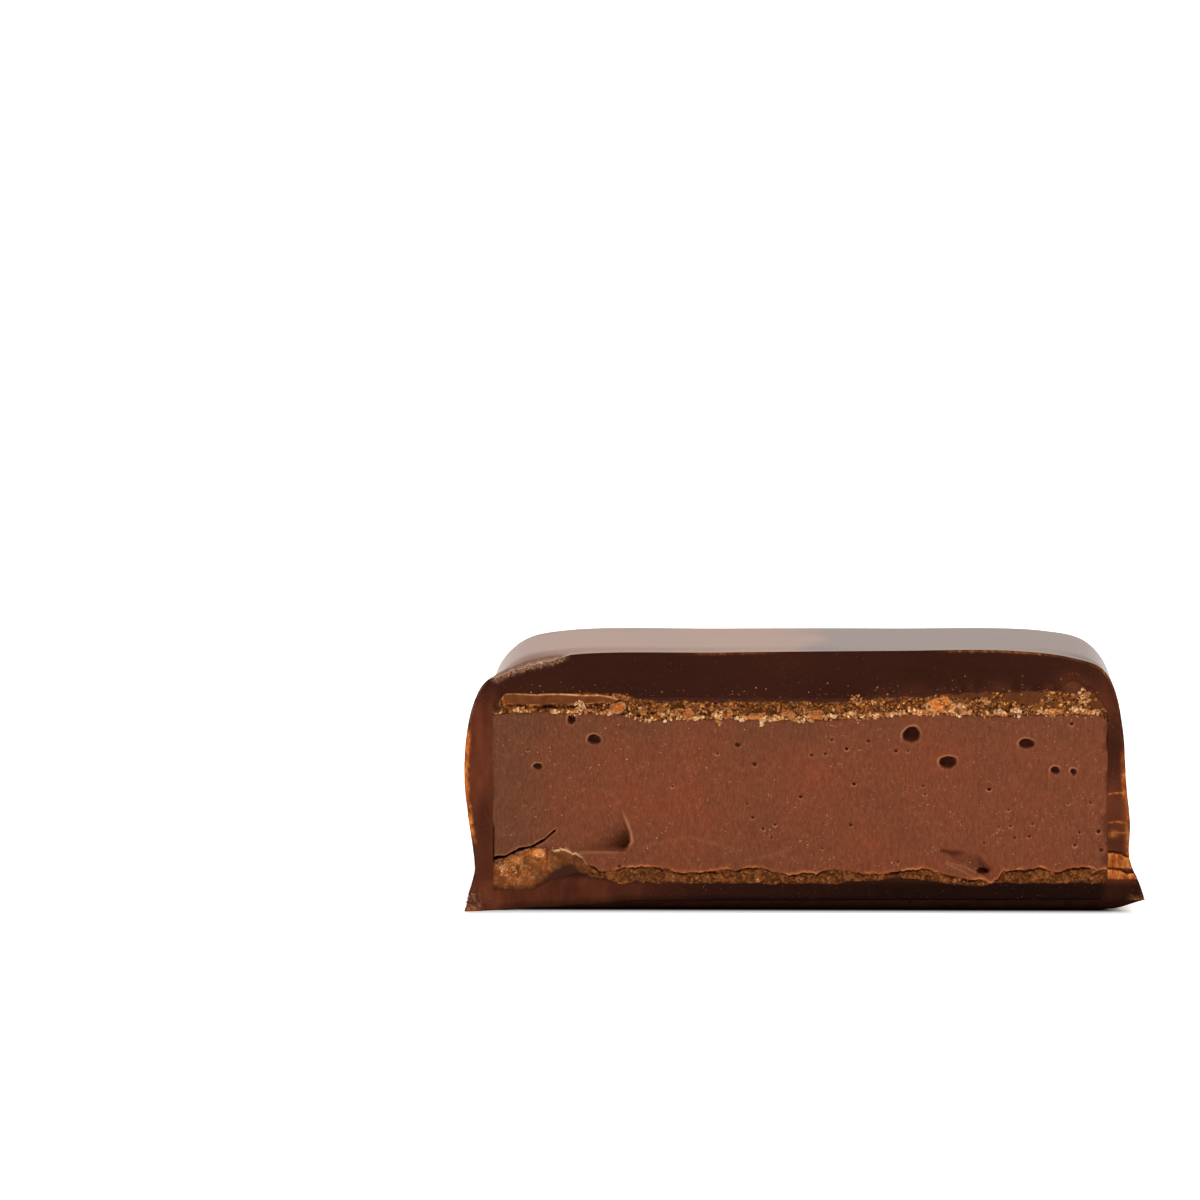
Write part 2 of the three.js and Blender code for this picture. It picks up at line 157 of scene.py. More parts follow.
# Air bubbles that the knife opened: x, z, width and height.
BUBBLES = [
    (-10.25, 8.3, 0.66, 0.5), (-13.0, 6.98, 0.48, 0.32), (-11.35, 9.28, 0.42, 0.46),
    (5.18, 8.56, 0.86, 0.78), (6.96, 7.22, 0.84, 0.64), (10.78, 8.14, 0.76, 0.52),
    (12.18, 6.84, 0.46, 0.4), (13.06, 6.76, 0.32, 0.34),
]
# Small pits with a pale rim, and the finest ones: x, z, width.
PITS = [
    (-3.27, 8.05, 0.3), (-2.44, 7.1, 0.24), (-13.48, 7.78, 0.14), (-4.25, 7.61, 0.14),
    (0.34, 7.56, 0.18), (1.0, 7.62, 0.18), (1.31, 8.29, 0.16), (2.04, 7.87, 0.2),
    (3.09, 8.24, 0.2), (4.43, 7.76, 0.2), (5.02, 7.76, 0.14), (-6.44, 6.0, 0.12),
    (-2.79, 5.17, 0.16), (-2.54, 4.49, 0.18), (-2.03, 3.95, 0.16), (-1.44, 4.15, 0.16),
    (-1.61, 3.51, 0.14), (-0.2, 5.51, 0.2), (0.87, 2.98, 0.12), (2.39, 6.15, 0.2),
    (2.24, 4.15, 0.2), (5.75, 6.05, 0.14), (5.85, 5.66, 0.14), (8.97, 5.9, 0.2),
    (8.73, 3.27, 0.14), (9.44, 4.05, 0.12), (10.0, 4.1, 0.14), (9.9, 4.88, 0.12),
    (10.21, 3.54, 0.18), (10.92, 3.61, 0.18), (11.07, 4.2, 0.12), (12.82, 5.22, 0.12),
    (13.9, 5.27, 0.16), (13.36, 3.8, 0.16), (14.29, 3.85, 0.22), (13.14, 3.17, 0.16),
    (14.43, 2.95, 0.22), (4.53, 2.34, 0.16), (-9.02, 2.1, 0.2), (12.96, 9.1, 0.2),
]

# A lump of ganache came away here: the steep right wall of its dent, [x, z] from the bottom up.
DENT_WALL = np.array([
    [-9.2, 2.6], [-8.85, 2.78], [-8.62, 2.98], [-8.46, 3.3], [-8.5, 3.75], [-8.68, 4.2], [-8.86, 4.65],
    [-8.98, 5.1], [-9.2, 5.6],
])
DENT_FLOOR_Z = 2.8
DENT_DEEP = 0.85

# The crack between the ganache and the praline under it: x, z and width along its run.
CRACK = np.array([
    [-15.2, 2.42, 0.13], [-14.95, 2.52, 0.12], [-14.6, 2.52, 0.1], [-13.9, 2.9, 0.12],
    [-13.3, 3.04, 0.1], [-12.7, 3.36, 0.09], [-12.15, 3.84, 0.03],
])
# The knife's smear in the lower right of the ganache, and faint ridges of dragged ganache.
SMEAR = np.array([[6.7, 2.9, 0.1], [7.5, 2.7, 0.36], [8.3, 2.38, 0.44], [8.8, 2.0, 0.32]])
SMEAR_HOLE = (8.66, 1.9, 0.62, 0.34)
TONGUE = np.array([[6.9, 2.3, 0.1], [7.7, 2.02, 0.26], [8.4, 1.66, 0.3], [9.1, 1.3, 0.1]])
RIDGES = [
    np.array([[-7.8, 3.12, 0.1], [-5.6, 3.56, 0.12], [-3.2, 2.88, 0.08]]),
    np.array([[-2.9, 2.39, 0.08], [-1.6, 2.66, 0.14], [-0.7, 2.98, 0.08]]),
    np.array([[-9.9, 5.9, 0.06], [-9.3, 5.55, 0.1], [-9.0, 5.2, 0.06]]),
]

# The smooth lens of nut paste in the upper praline, and the smooth patches at its right end.
LENS = {"left": -14.78, "right": -9.05, "middle": 10.26, "tall": 0.6}
PATCHES = [(10.7, 10.42, 1.9, 0.62), (7.9, 10.5, 2.2, 0.3), (14.2, 10.2, 0.7, 0.9)]  # x, z, width, height

# Toasted nuggets in the upper praline: x, z, width, height.
NUGGETS = [
    (6.7, 9.95, 1.5, 0.74), (5.75, 9.6, 0.95, 0.34), (-6.1, 9.62, 1.2, 0.36),
    (-3.8, 9.62, 0.62, 0.58), (-9.15, 9.8, 0.66, 0.6), (-2.4, 9.46, 0.7, 0.34),
    (-0.75, 9.54, 0.6, 0.36), (0.45, 9.5, 0.86, 0.4), (12.1, 9.66, 0.8, 0.34),
]

# Clumps of pale crumbs that stand over the ganache's upper edge: x, z, width, height and paleness.
CLUMPS = [
    (-7.9, 9.7, 0.35, 0.4, 0.6), (-6.6, 9.56, 1.1, 0.32, 0.62), (-5.2, 9.36, 0.55, 0.2, 0.9),
    (-4.26, 9.5, 0.55, 0.5, 0.8), (-4.2, 9.12, 0.3, 0.35, 0.6), (-3.1, 9.33, 0.55, 0.28, 0.95),
    (-2.1, 9.14, 0.22, 0.34, 0.95), (-1.4, 9.34, 0.4, 0.24, 0.9), (-0.1, 9.3, 0.8, 0.32, 0.75),
    (1.2, 9.46, 0.8, 0.18, 0.8), (2.2, 9.54, 0.8, 0.2, 0.85), (2.5, 10.3, 0.6, 0.45, 0.5),
    (3.4, 9.5, 0.5, 0.24, 0.8), (4.6, 9.62, 0.7, 0.26, 0.7), (7.8, 9.66, 0.6, 0.26, 0.75),
    (8.8, 10.2, 0.4, 0.4, 0.65), (9.5, 9.66, 0.65, 0.28, 0.8), (10.3, 9.74, 0.5, 0.24, 0.9),
    (11.6, 9.7, 0.6, 0.24, 0.75), (13.55, 10.42, 0.7, 0.75, 0.68), (13.2, 9.8, 0.7, 0.4, 0.8),
    (14.15, 9.66, 0.4, 0.3, 0.7), (-10.95, 9.86, 0.5, 0.66, 0.85), (-12.2, 9.64, 0.5, 0.14, 0.8),
    (-9.6, 9.62, 0.6, 0.24, 0.8), (-13.9, 9.75, 0.5, 0.24, 0.7),
]


# ------------------------------------------------------------------ small helpers

def clamp01(t):
    return np.clip(t, 0.0, 1.0)


def smooth(t):
    return clamp01(t) ** 2 * (3 - 2 * clamp01(t))


def rise(t, start, wide):
    """From 0 at the start to 1 past the width."""
    return smooth((t - start) / wide)


def bell(t):
    return np.exp(-(t ** 2))


def hump(t, middle, wide):
    return bell((t - middle) / wide)


def most(*values):
    """The largest of the values, point by point."""
    return functools.reduce(np.maximum, values)


def height_at(run, x):
    """Height at x on a run of [x, z] points, eased between them."""
    x = np.asarray(x, float)
    at = np.clip(np.searchsorted(run[:, 0], x) - 1, 0, len(run) - 2)
    x0, z0 = run[at, 0], run[at, 1]
    x1, z1 = run[at + 1, 0], run[at + 1, 1]
    return z0 + (z1 - z0) * smooth((x - x0) / (x1 - x0))


LATTICE = 32  # the noise repeats after this many cells
NOISE_PLANE = 0.37  # the y at which the cut face goes through the noise


def noise(points, size, seed):
    """Smooth noise in -1..1, N x 3 points, its lumps about size across."""
    table = np.random.default_rng(seed).uniform(-1, 1, (LATTICE,) * 3)
    scaled = points / size
    cell = np.floor(scaled).astype(int)
    t = scaled - cell
    t = t ** 3 * (t * (6 * t - 15) + 10)
    total = np.zeros(len(points))
    for corner in np.ndindex(2, 2, 2):
        i, j, k = ((cell + corner) % LATTICE).T
        total += np.prod(np.where(corner, t, 1 - t), axis=1) * table[i, j, k]
    return total


def fractal(points, size, octaves, seed):
    total = np.zeros(len(points))
    for octave in range(octaves):
        total += noise(points, size / 2 ** octave, seed + octave) / 2 ** octave
    return total


def on_face(x, z, tall=1.0):
    """Noise points for places on the cut face, drawn out upwards tall times."""
    x, z = np.broadcast_arrays(np.asarray(x, float), np.asarray(z, float))
    return np.stack([x.ravel(), np.full(x.size, NOISE_PLANE), z.ravel() / tall], axis=1)


def face_noise(x, z, size, octaves, seed, tall=1.0):
    x, z = np.broadcast_arrays(np.asarray(x, float), np.asarray(z, float))
    return fractal(on_face(x, z, tall), size, octaves, seed).reshape(x.shape)


def grains(x, z, size, seed):
    """Packed grains about size across: the distance to the nearest one's middle, in sizes, the
    distance to the border with its neighbour, and the nearest one's own draw in 0..1."""
    table = np.random.default_rng(seed).random((LATTICE, LATTICE, 3))
    u, v = x / size, z / size
    column, row = np.floor(u).astype(int), np.floor(v).astype(int)
    nearest = np.full(u.shape, 9.0)
    second = np.full(u.shape, 9.0)
    own = np.zeros(u.shape)
    for step_u, step_v in np.ndindex(3, 3):
        i, j = column + step_u - 1, row + step_v - 1
        draw = table[i % LATTICE, j % LATTICE]
        reach = np.hypot(i + draw[..., 0] - u, j + draw[..., 1] - v)
        closer = reach < nearest
        second = np.where(closer, nearest, np.minimum(second, reach))
        own = np.where(closer, draw[..., 2], own)
        nearest = np.minimum(nearest, reach)
    return nearest, second - nearest, own


def near_line(x, z, line):
    """Distance from a line of [x, z, width] points, and the line's width at the nearest one."""
    best = np.full(x.shape, 99.0)
    width = np.zeros(x.shape)
    for (x0, z0, w0), (x1, z1, w1) in zip(line[:-1], line[1:]):
        dx, dz = x1 - x0, z1 - z0
        t = clamp01(((x - x0) * dx + (z - z0) * dz) / (dx * dx + dz * dz))
        reach = np.hypot(x - x0 - t * dx, z - z0 - t * dz)
        width = np.where(reach < best, w0 + (w1 - w0) * t, width)
        best = np.minimum(best, reach)
    return best, width


def ragged(run, x, seed, more=1.0):
    """A run's height, pushed up and down by the crumbs along it."""
    flat = np.zeros_like(x)
    pushed = face_noise(x, flat, 0.55, 4, seed) + 0.5 * face_noise(x, flat, 0.11, 2, seed)
    return height_at(run, x) + more * RAGGED * pushed


def filling_top(x):
    return ragged(COAT_ABOVE_FILLING, x, 11)


def ganache_top(x):
    return ragged(PRALINE_ABOVE_GANACHE, x, 12, 1.5)


def ganache_bottom(x):
    return ragged(GANACHE_ABOVE_PRALINE, x, 13, 1.9)


def filling_bottom(x):
    return ragged(PRALINE_ABOVE_COAT, x, 14)


def centripetal(knots, steps):
    """A centripetal Catmull-Rom curve through the knots, steps points to each stretch."""
    ends = [2 * knots[0] - knots[1], *knots, 2 * knots[-1] - knots[-2]]
    t = np.linspace(0, 1, steps, endpoint=False)[:, None]
    curve = []
    for before, start, end, after in zip(ends[:-3], ends[1:-2], ends[2:-1], ends[3:]):
        d0, d1, d2 = (
            math.sqrt(np.linalg.norm(b - a)) for a, b in ((before, start), (start, end), (end, after))
        )
        out = (start - before) / d0 - (end - before) / (d0 + d1) + (end - start) / d1
        into = (end - start) / d1 - (after - start) / (d1 + d2) + (after - end) / d2
        out, into = out * d1, into * d1
        curve.append(
            start + out * t + (3 * (end - start) - 2 * out - into) * t ** 2
            + (2 * (start - end) + out + into) * t ** 3
        )
    return np.concatenate([*curve, knots[-1:]])


def lengths_along(line):
    return np.concatenate([[0], np.cumsum(np.linalg.norm(np.diff(line, axis=0), axis=1))])


def spaced(line, stops):
    """Points of a line at these distances along it."""
    along = lengths_along(line)
    return np.stack([np.interp(stops, along, axis) for axis in line.T], axis=1)


# ------------------------------------------------------------------ making pieces

def add_piece(name, points, faces, masks=None, materials=(), face_material=None, flat=False):
    """A mesh object from points in millimetres, and faces as arrays of 3 or 4 columns."""
    mesh = bpy.data.meshes.new(name)
    mesh.vertices.add(len(points))
    on_board = (np.asarray(points) - [0, 0, BOARD]) * MM
    mesh.vertices.foreach_set("co", on_board.astype(np.float32).ravel())
    corners = np.concatenate([block.ravel() for block in faces])
    sizes = np.concatenate([np.full(len(block), block.shape[1]) for block in faces])
    mesh.loops.add(len(corners))
    mesh.loops.foreach_set("vertex_index", corners.astype(np.int32))
    mesh.polygons.add(len(sizes))
    starts = np.concatenate([[0], np.cumsum(sizes)[:-1]])
    mesh.polygons.foreach_set("loop_start", starts.astype(np.int32))
    mesh.polygons.foreach_set("use_smooth", np.full(len(sizes), not flat))
    for material in materials:
        mesh.materials.append(material)
    if face_material is not None:
        mesh.polygons.foreach_set("material_index", face_material.astype(np.int32))
    mesh.update(calc_edges=True)
    mesh.validate()
    for mask, values in (masks or {}).items():
        layer = mesh.attributes.new(mask, "FLOAT", "POINT")
        layer.data.foreach_set("value", np.asarray(values, np.float32).ravel())
    piece = bpy.data.objects.new(name, mesh)
    bpy.context.scene.collection.objects.link(piece)
    return piece


def grid_quads(columns, rows, start=0):
    """Quads of a grid of (columns + 1) x (rows + 1) points that are stored column by column."""
    i, j = np.meshgrid(np.arange(columns), np.arange(rows), indexing="ij")
    a = (start + i * (rows + 1) + j).ravel()
    return np.stack([a, a + rows + 1, a + rows + 2, a + 1], axis=1)


def layer_piece(name, low, high, columns, rows, relief, material):
    """A filling layer between two heights: a fine relief for a front and a plain box behind it.
    relief(x, z, up, room) gives the depth behind the cut face, and the masks."""
    x_line = np.linspace(SLAB_LEFT, SLAB_RIGHT, columns + 1)
    low_line, high_line = low(x_line) + SEAM, high(x_line) - SEAM
    up = np.linspace(0, 1, rows + 1)
    x = np.repeat(x_line[:, None], rows + 1, axis=1)
    room = (high_line - low_line)[:, None]
    z = low_line[:, None] + room * up
    depth, masks = relief(x, z, up[None, :] * room, room)
    front = np.stack([x, CUT_Y + np.maximum(depth, 0), z], axis=-1).reshape(-1, 3)
    far = np.full_like(x_line, SLAB_BACK)
    far_low = np.stack([x_line, far, low_line], axis=1)
    far_high = np.stack([x_line, far, high_line], axis=1)
    count = len(front)
    step = np.arange(columns)
    near_low, near_high = step * (rows + 1), step * (rows + 1) + rows
    back_low, back_high = count + step, count + columns + 1 + step
    up_side = np.arange(rows)
    right = columns * (rows + 1)
    low_right, high_right = count + columns, count + 2 * columns + 1
    left_fan = np.stack([np.full(rows, count), up_side, up_side + 1], axis=1)
    right_fan = np.stack([np.full(rows, low_right), right + up_side + 1, right + up_side], axis=1)
    faces = [
        grid_quads(columns, rows),
        np.stack([near_high, near_high + rows + 1, back_high + 1, back_high], axis=1),
        np.stack([back_low, back_low + 1, near_low + rows + 1, near_low], axis=1),
        np.stack([back_high, back_high + 1, back_low + 1, back_low], axis=1),
        np.concatenate([left_fan, [[count, rows, count + columns + 1]]]),
        np.concatenate([right_fan, [[low_right, high_right, right + rows]]]),
    ]
    behind = np.zeros(2 * (columns + 1))
    masks = {key: np.concatenate([clamp01(mask).ravel(), behind]) for key, mask in masks.items()}
    return add_piece(name, np.concatenate([front, far_low, far_high]), faces, masks, [material])


# ------------------------------------------------------------------ materials

def srgb(red, green, blue):
    """A colour as it looks, 0 to 255, as the linear colour that a shader takes."""
    def linear(value):
        share = value / 255
        return share / 12.92 if share <= 0.04045 else ((share + 0.055) / 1.055) ** 2.4
    return (linear(red), linear(green), linear(blue), 1.0)


def shader_colour(value):
    """From a grey in 0..1, a colour as it looks (three values) or a linear one (four)."""
    if not isinstance(value, tuple):
        return (value, value, value, 1)
    return value if len(value) == 4 else srgb(*value)


class Nodes:
    """A node tree, with short ways to add the nodes that it is made of."""

    def __init__(self, tree):
        self.tree = tree

    def put(self, socket, value):
        """Links a node's output to a socket, or sets the socket: a tuple is a colour."""
        if isinstance(value, bpy.types.NodeSocket):
            self.tree.links.new(value, socket)
        else:
            socket.default_value = shader_colour(value) if isinstance(value, tuple) else value

    def node(self, kind, inputs=None, **settings):
        node = self.tree.nodes.new("ShaderNode" + kind)
        for name, value in settings.items():
            setattr(node, name, value)
        for name, value in (inputs or {}).items():
            self.put(node.inputs[name], value)
        return node

    def ramp(self, factor, stops):
        node = self.node("ValToRGB", {"Fac": factor})
        elements = node.color_ramp.elements
        while len(elements) < len(stops):
            elements.new(0.5)
        for element, (place, colour) in zip(elements, stops):
            element.position = place
            element.color = shader_colour(colour)
        return node.outputs["Color"]

    def mix(self, factor, first, second, blend="MIX"):
        node = self.node("Mix", data_type="RGBA", blend_type=blend)
        sockets = {socket.identifier: socket for socket in [*node.inputs, *node.outputs]}
        for name, value in (("Factor_Float", factor), ("A_Color", first), ("B_Color", second)):
            self.put(sockets[name], value)
        return sockets["Result_Color"]


class Look(Nodes):
    """One material, and its colour as it is mixed up layer by layer."""

    def __init__(self, name, roughness, specular):
        self.material = bpy.data.materials.new(name)
        self.material.use_nodes = True
        super().__init__(self.material.node_tree)
        self.shader = self.tree.nodes["Principled BSDF"]
        self.shader.inputs["Roughness"].default_value = roughness
        self.shader.inputs["Specular IOR Level"].default_value = specular
        self.place = self.node("TexCoord").outputs["Object"]

    def mask(self, name):
        return self.node("Attribute", attribute_name=name).outputs["Fac"]

    def stretched(self, *scale):
        """The place, for a noise that is drawn out along each axis whose scale is under 1."""
        return self.node("Mapping", {"Vector": self.place, "Scale": list(scale)}).outputs["Vector"]

    def noise(self, size, detail=3.0, rough=0.55, place=None):
        return self.node("TexNoise", {
            "Vector": place or self.place, "Scale": 1 / (size * MM), "Detail": detail, "Roughness": rough,
        }).outputs["Fac"]

    def maths(self, operation, first, second):
        node = self.node("Math", {0: first, 1: second}, operation=operation, use_clamp=True)
        return node.outputs["Value"]

    def flecks(self, size, patches, rare, strength):
        """Irregular specks about size across, thick in some patches; rare is 0 to 1."""
        fine = self.ramp(self.noise(size, 2.0, 0.6), [(0.58 + 0.14 * rare, 0.0), (0.62 + 0.14 * rare, 1.0)])
        where = self.ramp(self.noise(patches, 3.0, 0.6), [(0.4, 0.0), (0.62, 1.0)])
        return self.maths("MULTIPLY", self.maths("MULTIPLY", fine, where), strength)

    def cover(self, factor, colour, blend="MIX"):
        """Lays a colour over the look's own, by a factor or by the mask of this name."""
        factor = self.mask(factor) if isinstance(factor, str) else factor
        self.colour = self.mix(factor, self.colour, colour, blend)

    def shade(self, weight, noise, greys):
        """Lightens and darkens the look's colour along a noise; a grey of a half does neither."""
        self.cover(weight, self.ramp(noise, greys), "OVERLAY")

    def bump(self, height, distance, before=None):
        inputs = {"Height": height, "Distance": distance * MM}
        if before:
            inputs["Normal"] = before
        return self.node("Bump", inputs).outputs["Normal"]

    def glow_through(self, weight, reach, tint):
        """Light that soaks into the surface, reach millimetres deep, more of it in tint."""
        self.shader.inputs["Subsurface Weight"].default_value = weight
        self.shader.inputs["Subsurface Scale"].default_value = reach * MM
        self.shader.inputs["Subsurface Radius"].default_value = tint

    def finish(self, normal, roughness=None):
        self.put(self.shader.inputs["Base Color"], self.colour)
        self.put(self.shader.inputs["Normal"], normal)
        if roughness:
            self.put(self.shader.inputs["Roughness"], roughness)
        return self.material


def ganache_look():
    look = Look("ganache_satin", roughness=0.5, specular=0.04)
    look.colour = look.ramp(look.noise(4.0, 2.0), [
        (0.32, (106, 60, 39)), (0.5, (112, 61, 39)), (0.68, (117, 61, 38)),
    ])
    look.cover("brown", (97, 59, 40))
    grain = look.noise(0.08, 3.0, 0.65, look.stretched(1, 1, 0.3))
    look.shade(0.9, grain, [(0.25, 0.3), (0.5, 0.5), (0.75, 0.72)])
    look.cover(look.flecks(0.1, 1.1, 0.55, 0.7), (184, 128, 94))
    look.cover(look.flecks(0.13, 1.7, 0.6, 0.6), (72, 32, 18))
    look.cover("coat", (88, 44, 30))
    # painted highlight on the lips of bubbles and pits, the dent's wall, the crack, the tongue, the ridges
    # and the lower edge
    look.cover("lip", (196, 136, 98))
    look.cover("gold", (170, 92, 46))
    # painted shade in the insides of bubbles and pits, in the crack, the dent and the smear, and in the
    # lines open at the sides
    look.cover("hollow", (42, 12, 6))
    fine = look.bump(look.noise(0.07, 3.0), 0.02)
    streaks = look.bump(look.noise(0.1, 2.0, 0.5, look.stretched(1, 1, 0.08)), 0.03, fine)
    look.glow_through(0.1, 0.25, (1.0, 0.35, 0.15))
    return look.finish(streaks, look.ramp(grain, [(0.3, 0.42), (0.7, 0.6)]))


def praline_look():
    look = Look("praline_crumb", roughness=0.6, specular=0.05)
    look.colour = look.ramp(look.noise(0.5, 4.0), [(0.3, (84, 44, 20)), (0.7, (116, 65, 32))])
    fine = look.noise(0.05, 3.0, 0.65)
    look.shade(0.45, fine, [(0.25, 0.3), (0.5, 0.5), (0.75, 0.74)])
    paste = look.colour
    look.colour = look.ramp(look.mask("grain"), [
        (0.0, (72, 35, 11)), (0.24, (120, 68, 28)), (0.5, (148, 86, 38)), (0.7, (184, 116, 58)),
        (0.84, (226, 170, 110)), (1.0, (248, 214, 172)),
    ])
    look.shade(0.7, fine, [(0.25, 0.28), (0.5, 0.5), (0.75, 0.76)])
    look.cover(look.flecks(0.055, 0.45, 0.15, look.mask("speck")), (236, 184, 126))
    look.cover("paste", paste)
    toasted = look.ramp(look.noise(0.1, 4.0, 0.75), [
        (0.3, (122, 60, 22)), (0.46, (186, 100, 40)), (0.58, (216, 130, 62)), (0.68, (250, 204, 148)),
    ])
    look.cover("amber", toasted)
    look.cover("pale", (244, 196, 142))
    # painted shade in the gaps among the crumbs, under the lens and under the ganache's ledge
    look.cover("gap", (40, 15, 4))
    look.cover("coat", (56, 28, 18))
    look.glow_through(0.12, 0.2, (1.0, 0.5, 0.2))
    return look.finish(look.bump(fine, 0.035))


def cut_look():
    look = Look("coat_cut", roughness=0.42, specular=0.02)
    look.colour = look.ramp(look.noise(2.6, 3.0, 0.5, look.stretched(0.4, 1, 1)), [
        (0.3, (46, 22, 14)), (0.55, (51, 24, 16)), (0.75, (57, 27, 18)),
    ])
    reddish = look.ramp(look.noise(0.9, 4.0, 0.6, look.stretched(1, 1, 0.4)), [
        (0.3, (74, 35, 22)), (0.55, (97, 49, 30)), (0.75, (114, 58, 36)),
    ])
    # warm: painted glow of light through the thin coat on the side walls, plus lighter redder patches of
    # the coat's own colour
    look.cover("warm", reddish)
    # painted shade, darkest low on the cut rim near its bottom edge
    look.cover("shade", (12, 4, 2))
    look.cover(look.flecks(0.08, 2.0, 0.8, 0.6), (160, 100, 66))
    crumbly = look.noise(0.06, 3.0, 0.7)
    scraped = look.ramp(crumbly, [(0.36, (88, 48, 32)), (0.48, (146, 100, 76)), (0.62, (214, 176, 148))])
    look.cover("scrape", scraped)
    # rim: painted glow of light through the thin edges, and a painted highlight at the right shoulder
    painted_edge_glow = look.ramp(look.noise(0.24, 4.0, 0.7, look.stretched(1, 1, 0.4)), [
        (0.34, (112, 50, 20)), (0.46, (184, 96, 38)), (0.58, (226, 136, 62)), (0.7, (252, 196, 132)),
    ])
    look.cover("rim", painted_edge_glow)
    streaks = look.bump(look.noise(0.12, 2.0, 0.5, look.stretched(0.06, 1, 1)), 0.012)
    look.glow_through(0.04, 0.25, (1.0, 0.35, 0.12))
    return look.finish(look.bump(crumbly, 0.014, streaks))


def gloss_look():
    look = Look("coat_gloss", roughness=0.26, specular=0.42)
    look.colour = look.ramp(look.noise(3.2, 2.0), [(0.3, (48, 21, 13)), (0.7, (60, 29, 19))])
    milk = look.ramp(look.noise(6.0, 0.5), [(0.3, (104, 61, 39)), (0.7, (118, 70, 43))])
    swirl = look.ramp(look.noise(2.8, 0.6), [(0.25, 0.0), (0.75, 0.24)])
    share = look.ramp(look.maths("ADD", look.mask("milk"), swirl), [(0.53, 0.0), (0.71, 1.0)])
    look.cover(share, milk)
    crumbly = look.noise(0.06, 3.0, 0.7)
    look.cover("scrape", look.ramp(crumbly, [(0.38, (104, 62, 44)), (0.6, (206, 168, 140))]))
    # painted glow of light through the coat's thin edge, just behind the cut
    look.cover("rim", (196, 104, 44))
    look.glow_through(0.05, 0.3, (1.0, 0.35, 0.12))
    return look.finish(look.bump(look.noise(2.4, 1.0), 0.012))


def base_look():
    look = Look("coat_base", roughness=0.9, specular=0.0)
    look.colour = look.ramp(look.noise(0.6, 3.0), [(0.3, (30, 13, 8)), (0.7, (44, 20, 13))])
    return look.finish(look.bump(look.noise(0.3, 3.0), 0.02))


def crumb_look(name, stops):
    look = Look(name, roughness=0.5, specular=0.25)
    look.colour = look.ramp(look.mask("shade"), stops)
    fine = look.noise(0.03, 2.0)
    look.shade(0.5, fine, [(0.3, 0.36), (0.7, 0.66)])
    look.glow_through(0.25, 0.15, (1.0, 0.6, 0.3))
    return look.finish(look.bump(fine, 0.01))


# ------------------------------------------------------------------ ganache

GANACHE_COLUMNS = 600
GANACHE_ROWS = 152
EDGE_ROUND = 0.022
RIM_DEPTH = 0.03  # how far the coat's cut rim lies behind the foremost plane
FACE_DEPTH = 0.05  # and how far the ganache does, on the whole
CRACK_DEEP = 0.6
SMEAR_DEEP = 0.2
TONGUE_HIGH = 0.07
RIDGE_HIGH = 0.022


def hollow_at(x, z, middle_x, middle_z, wide, tall, seed):
    """How deep a bubble is here, how much its lip shows, which takes a painted highlight, and how much its
    inside shows, which takes painted shade.
    """
    dx, dz = (x - middle_x) / (wide / 2), (z - middle_z) / (tall / 2)
    angle = np.arctan2(dz, dx)
    wobble = 1 + 0.05 * np.sin(2 * angle + seed) + 0.035 * np.sin(3 * angle + 2.3 * seed)
    wobble += 0.02 * np.sin(7 * angle + 3.1 * seed)
    reach = np.hypot(dx, dz) * wobble
    depth = 0.55 * min(wide, tall) * np.sqrt(clamp01(1.04 - reach ** 2))
    lip_wide = 0.03 / (wide / 2) + 0.04
    lip = bell((reach - 1 - lip_wide) / lip_wide)
    inside = smooth((1.03 - reach) / 0.22)
    return depth, lip, inside


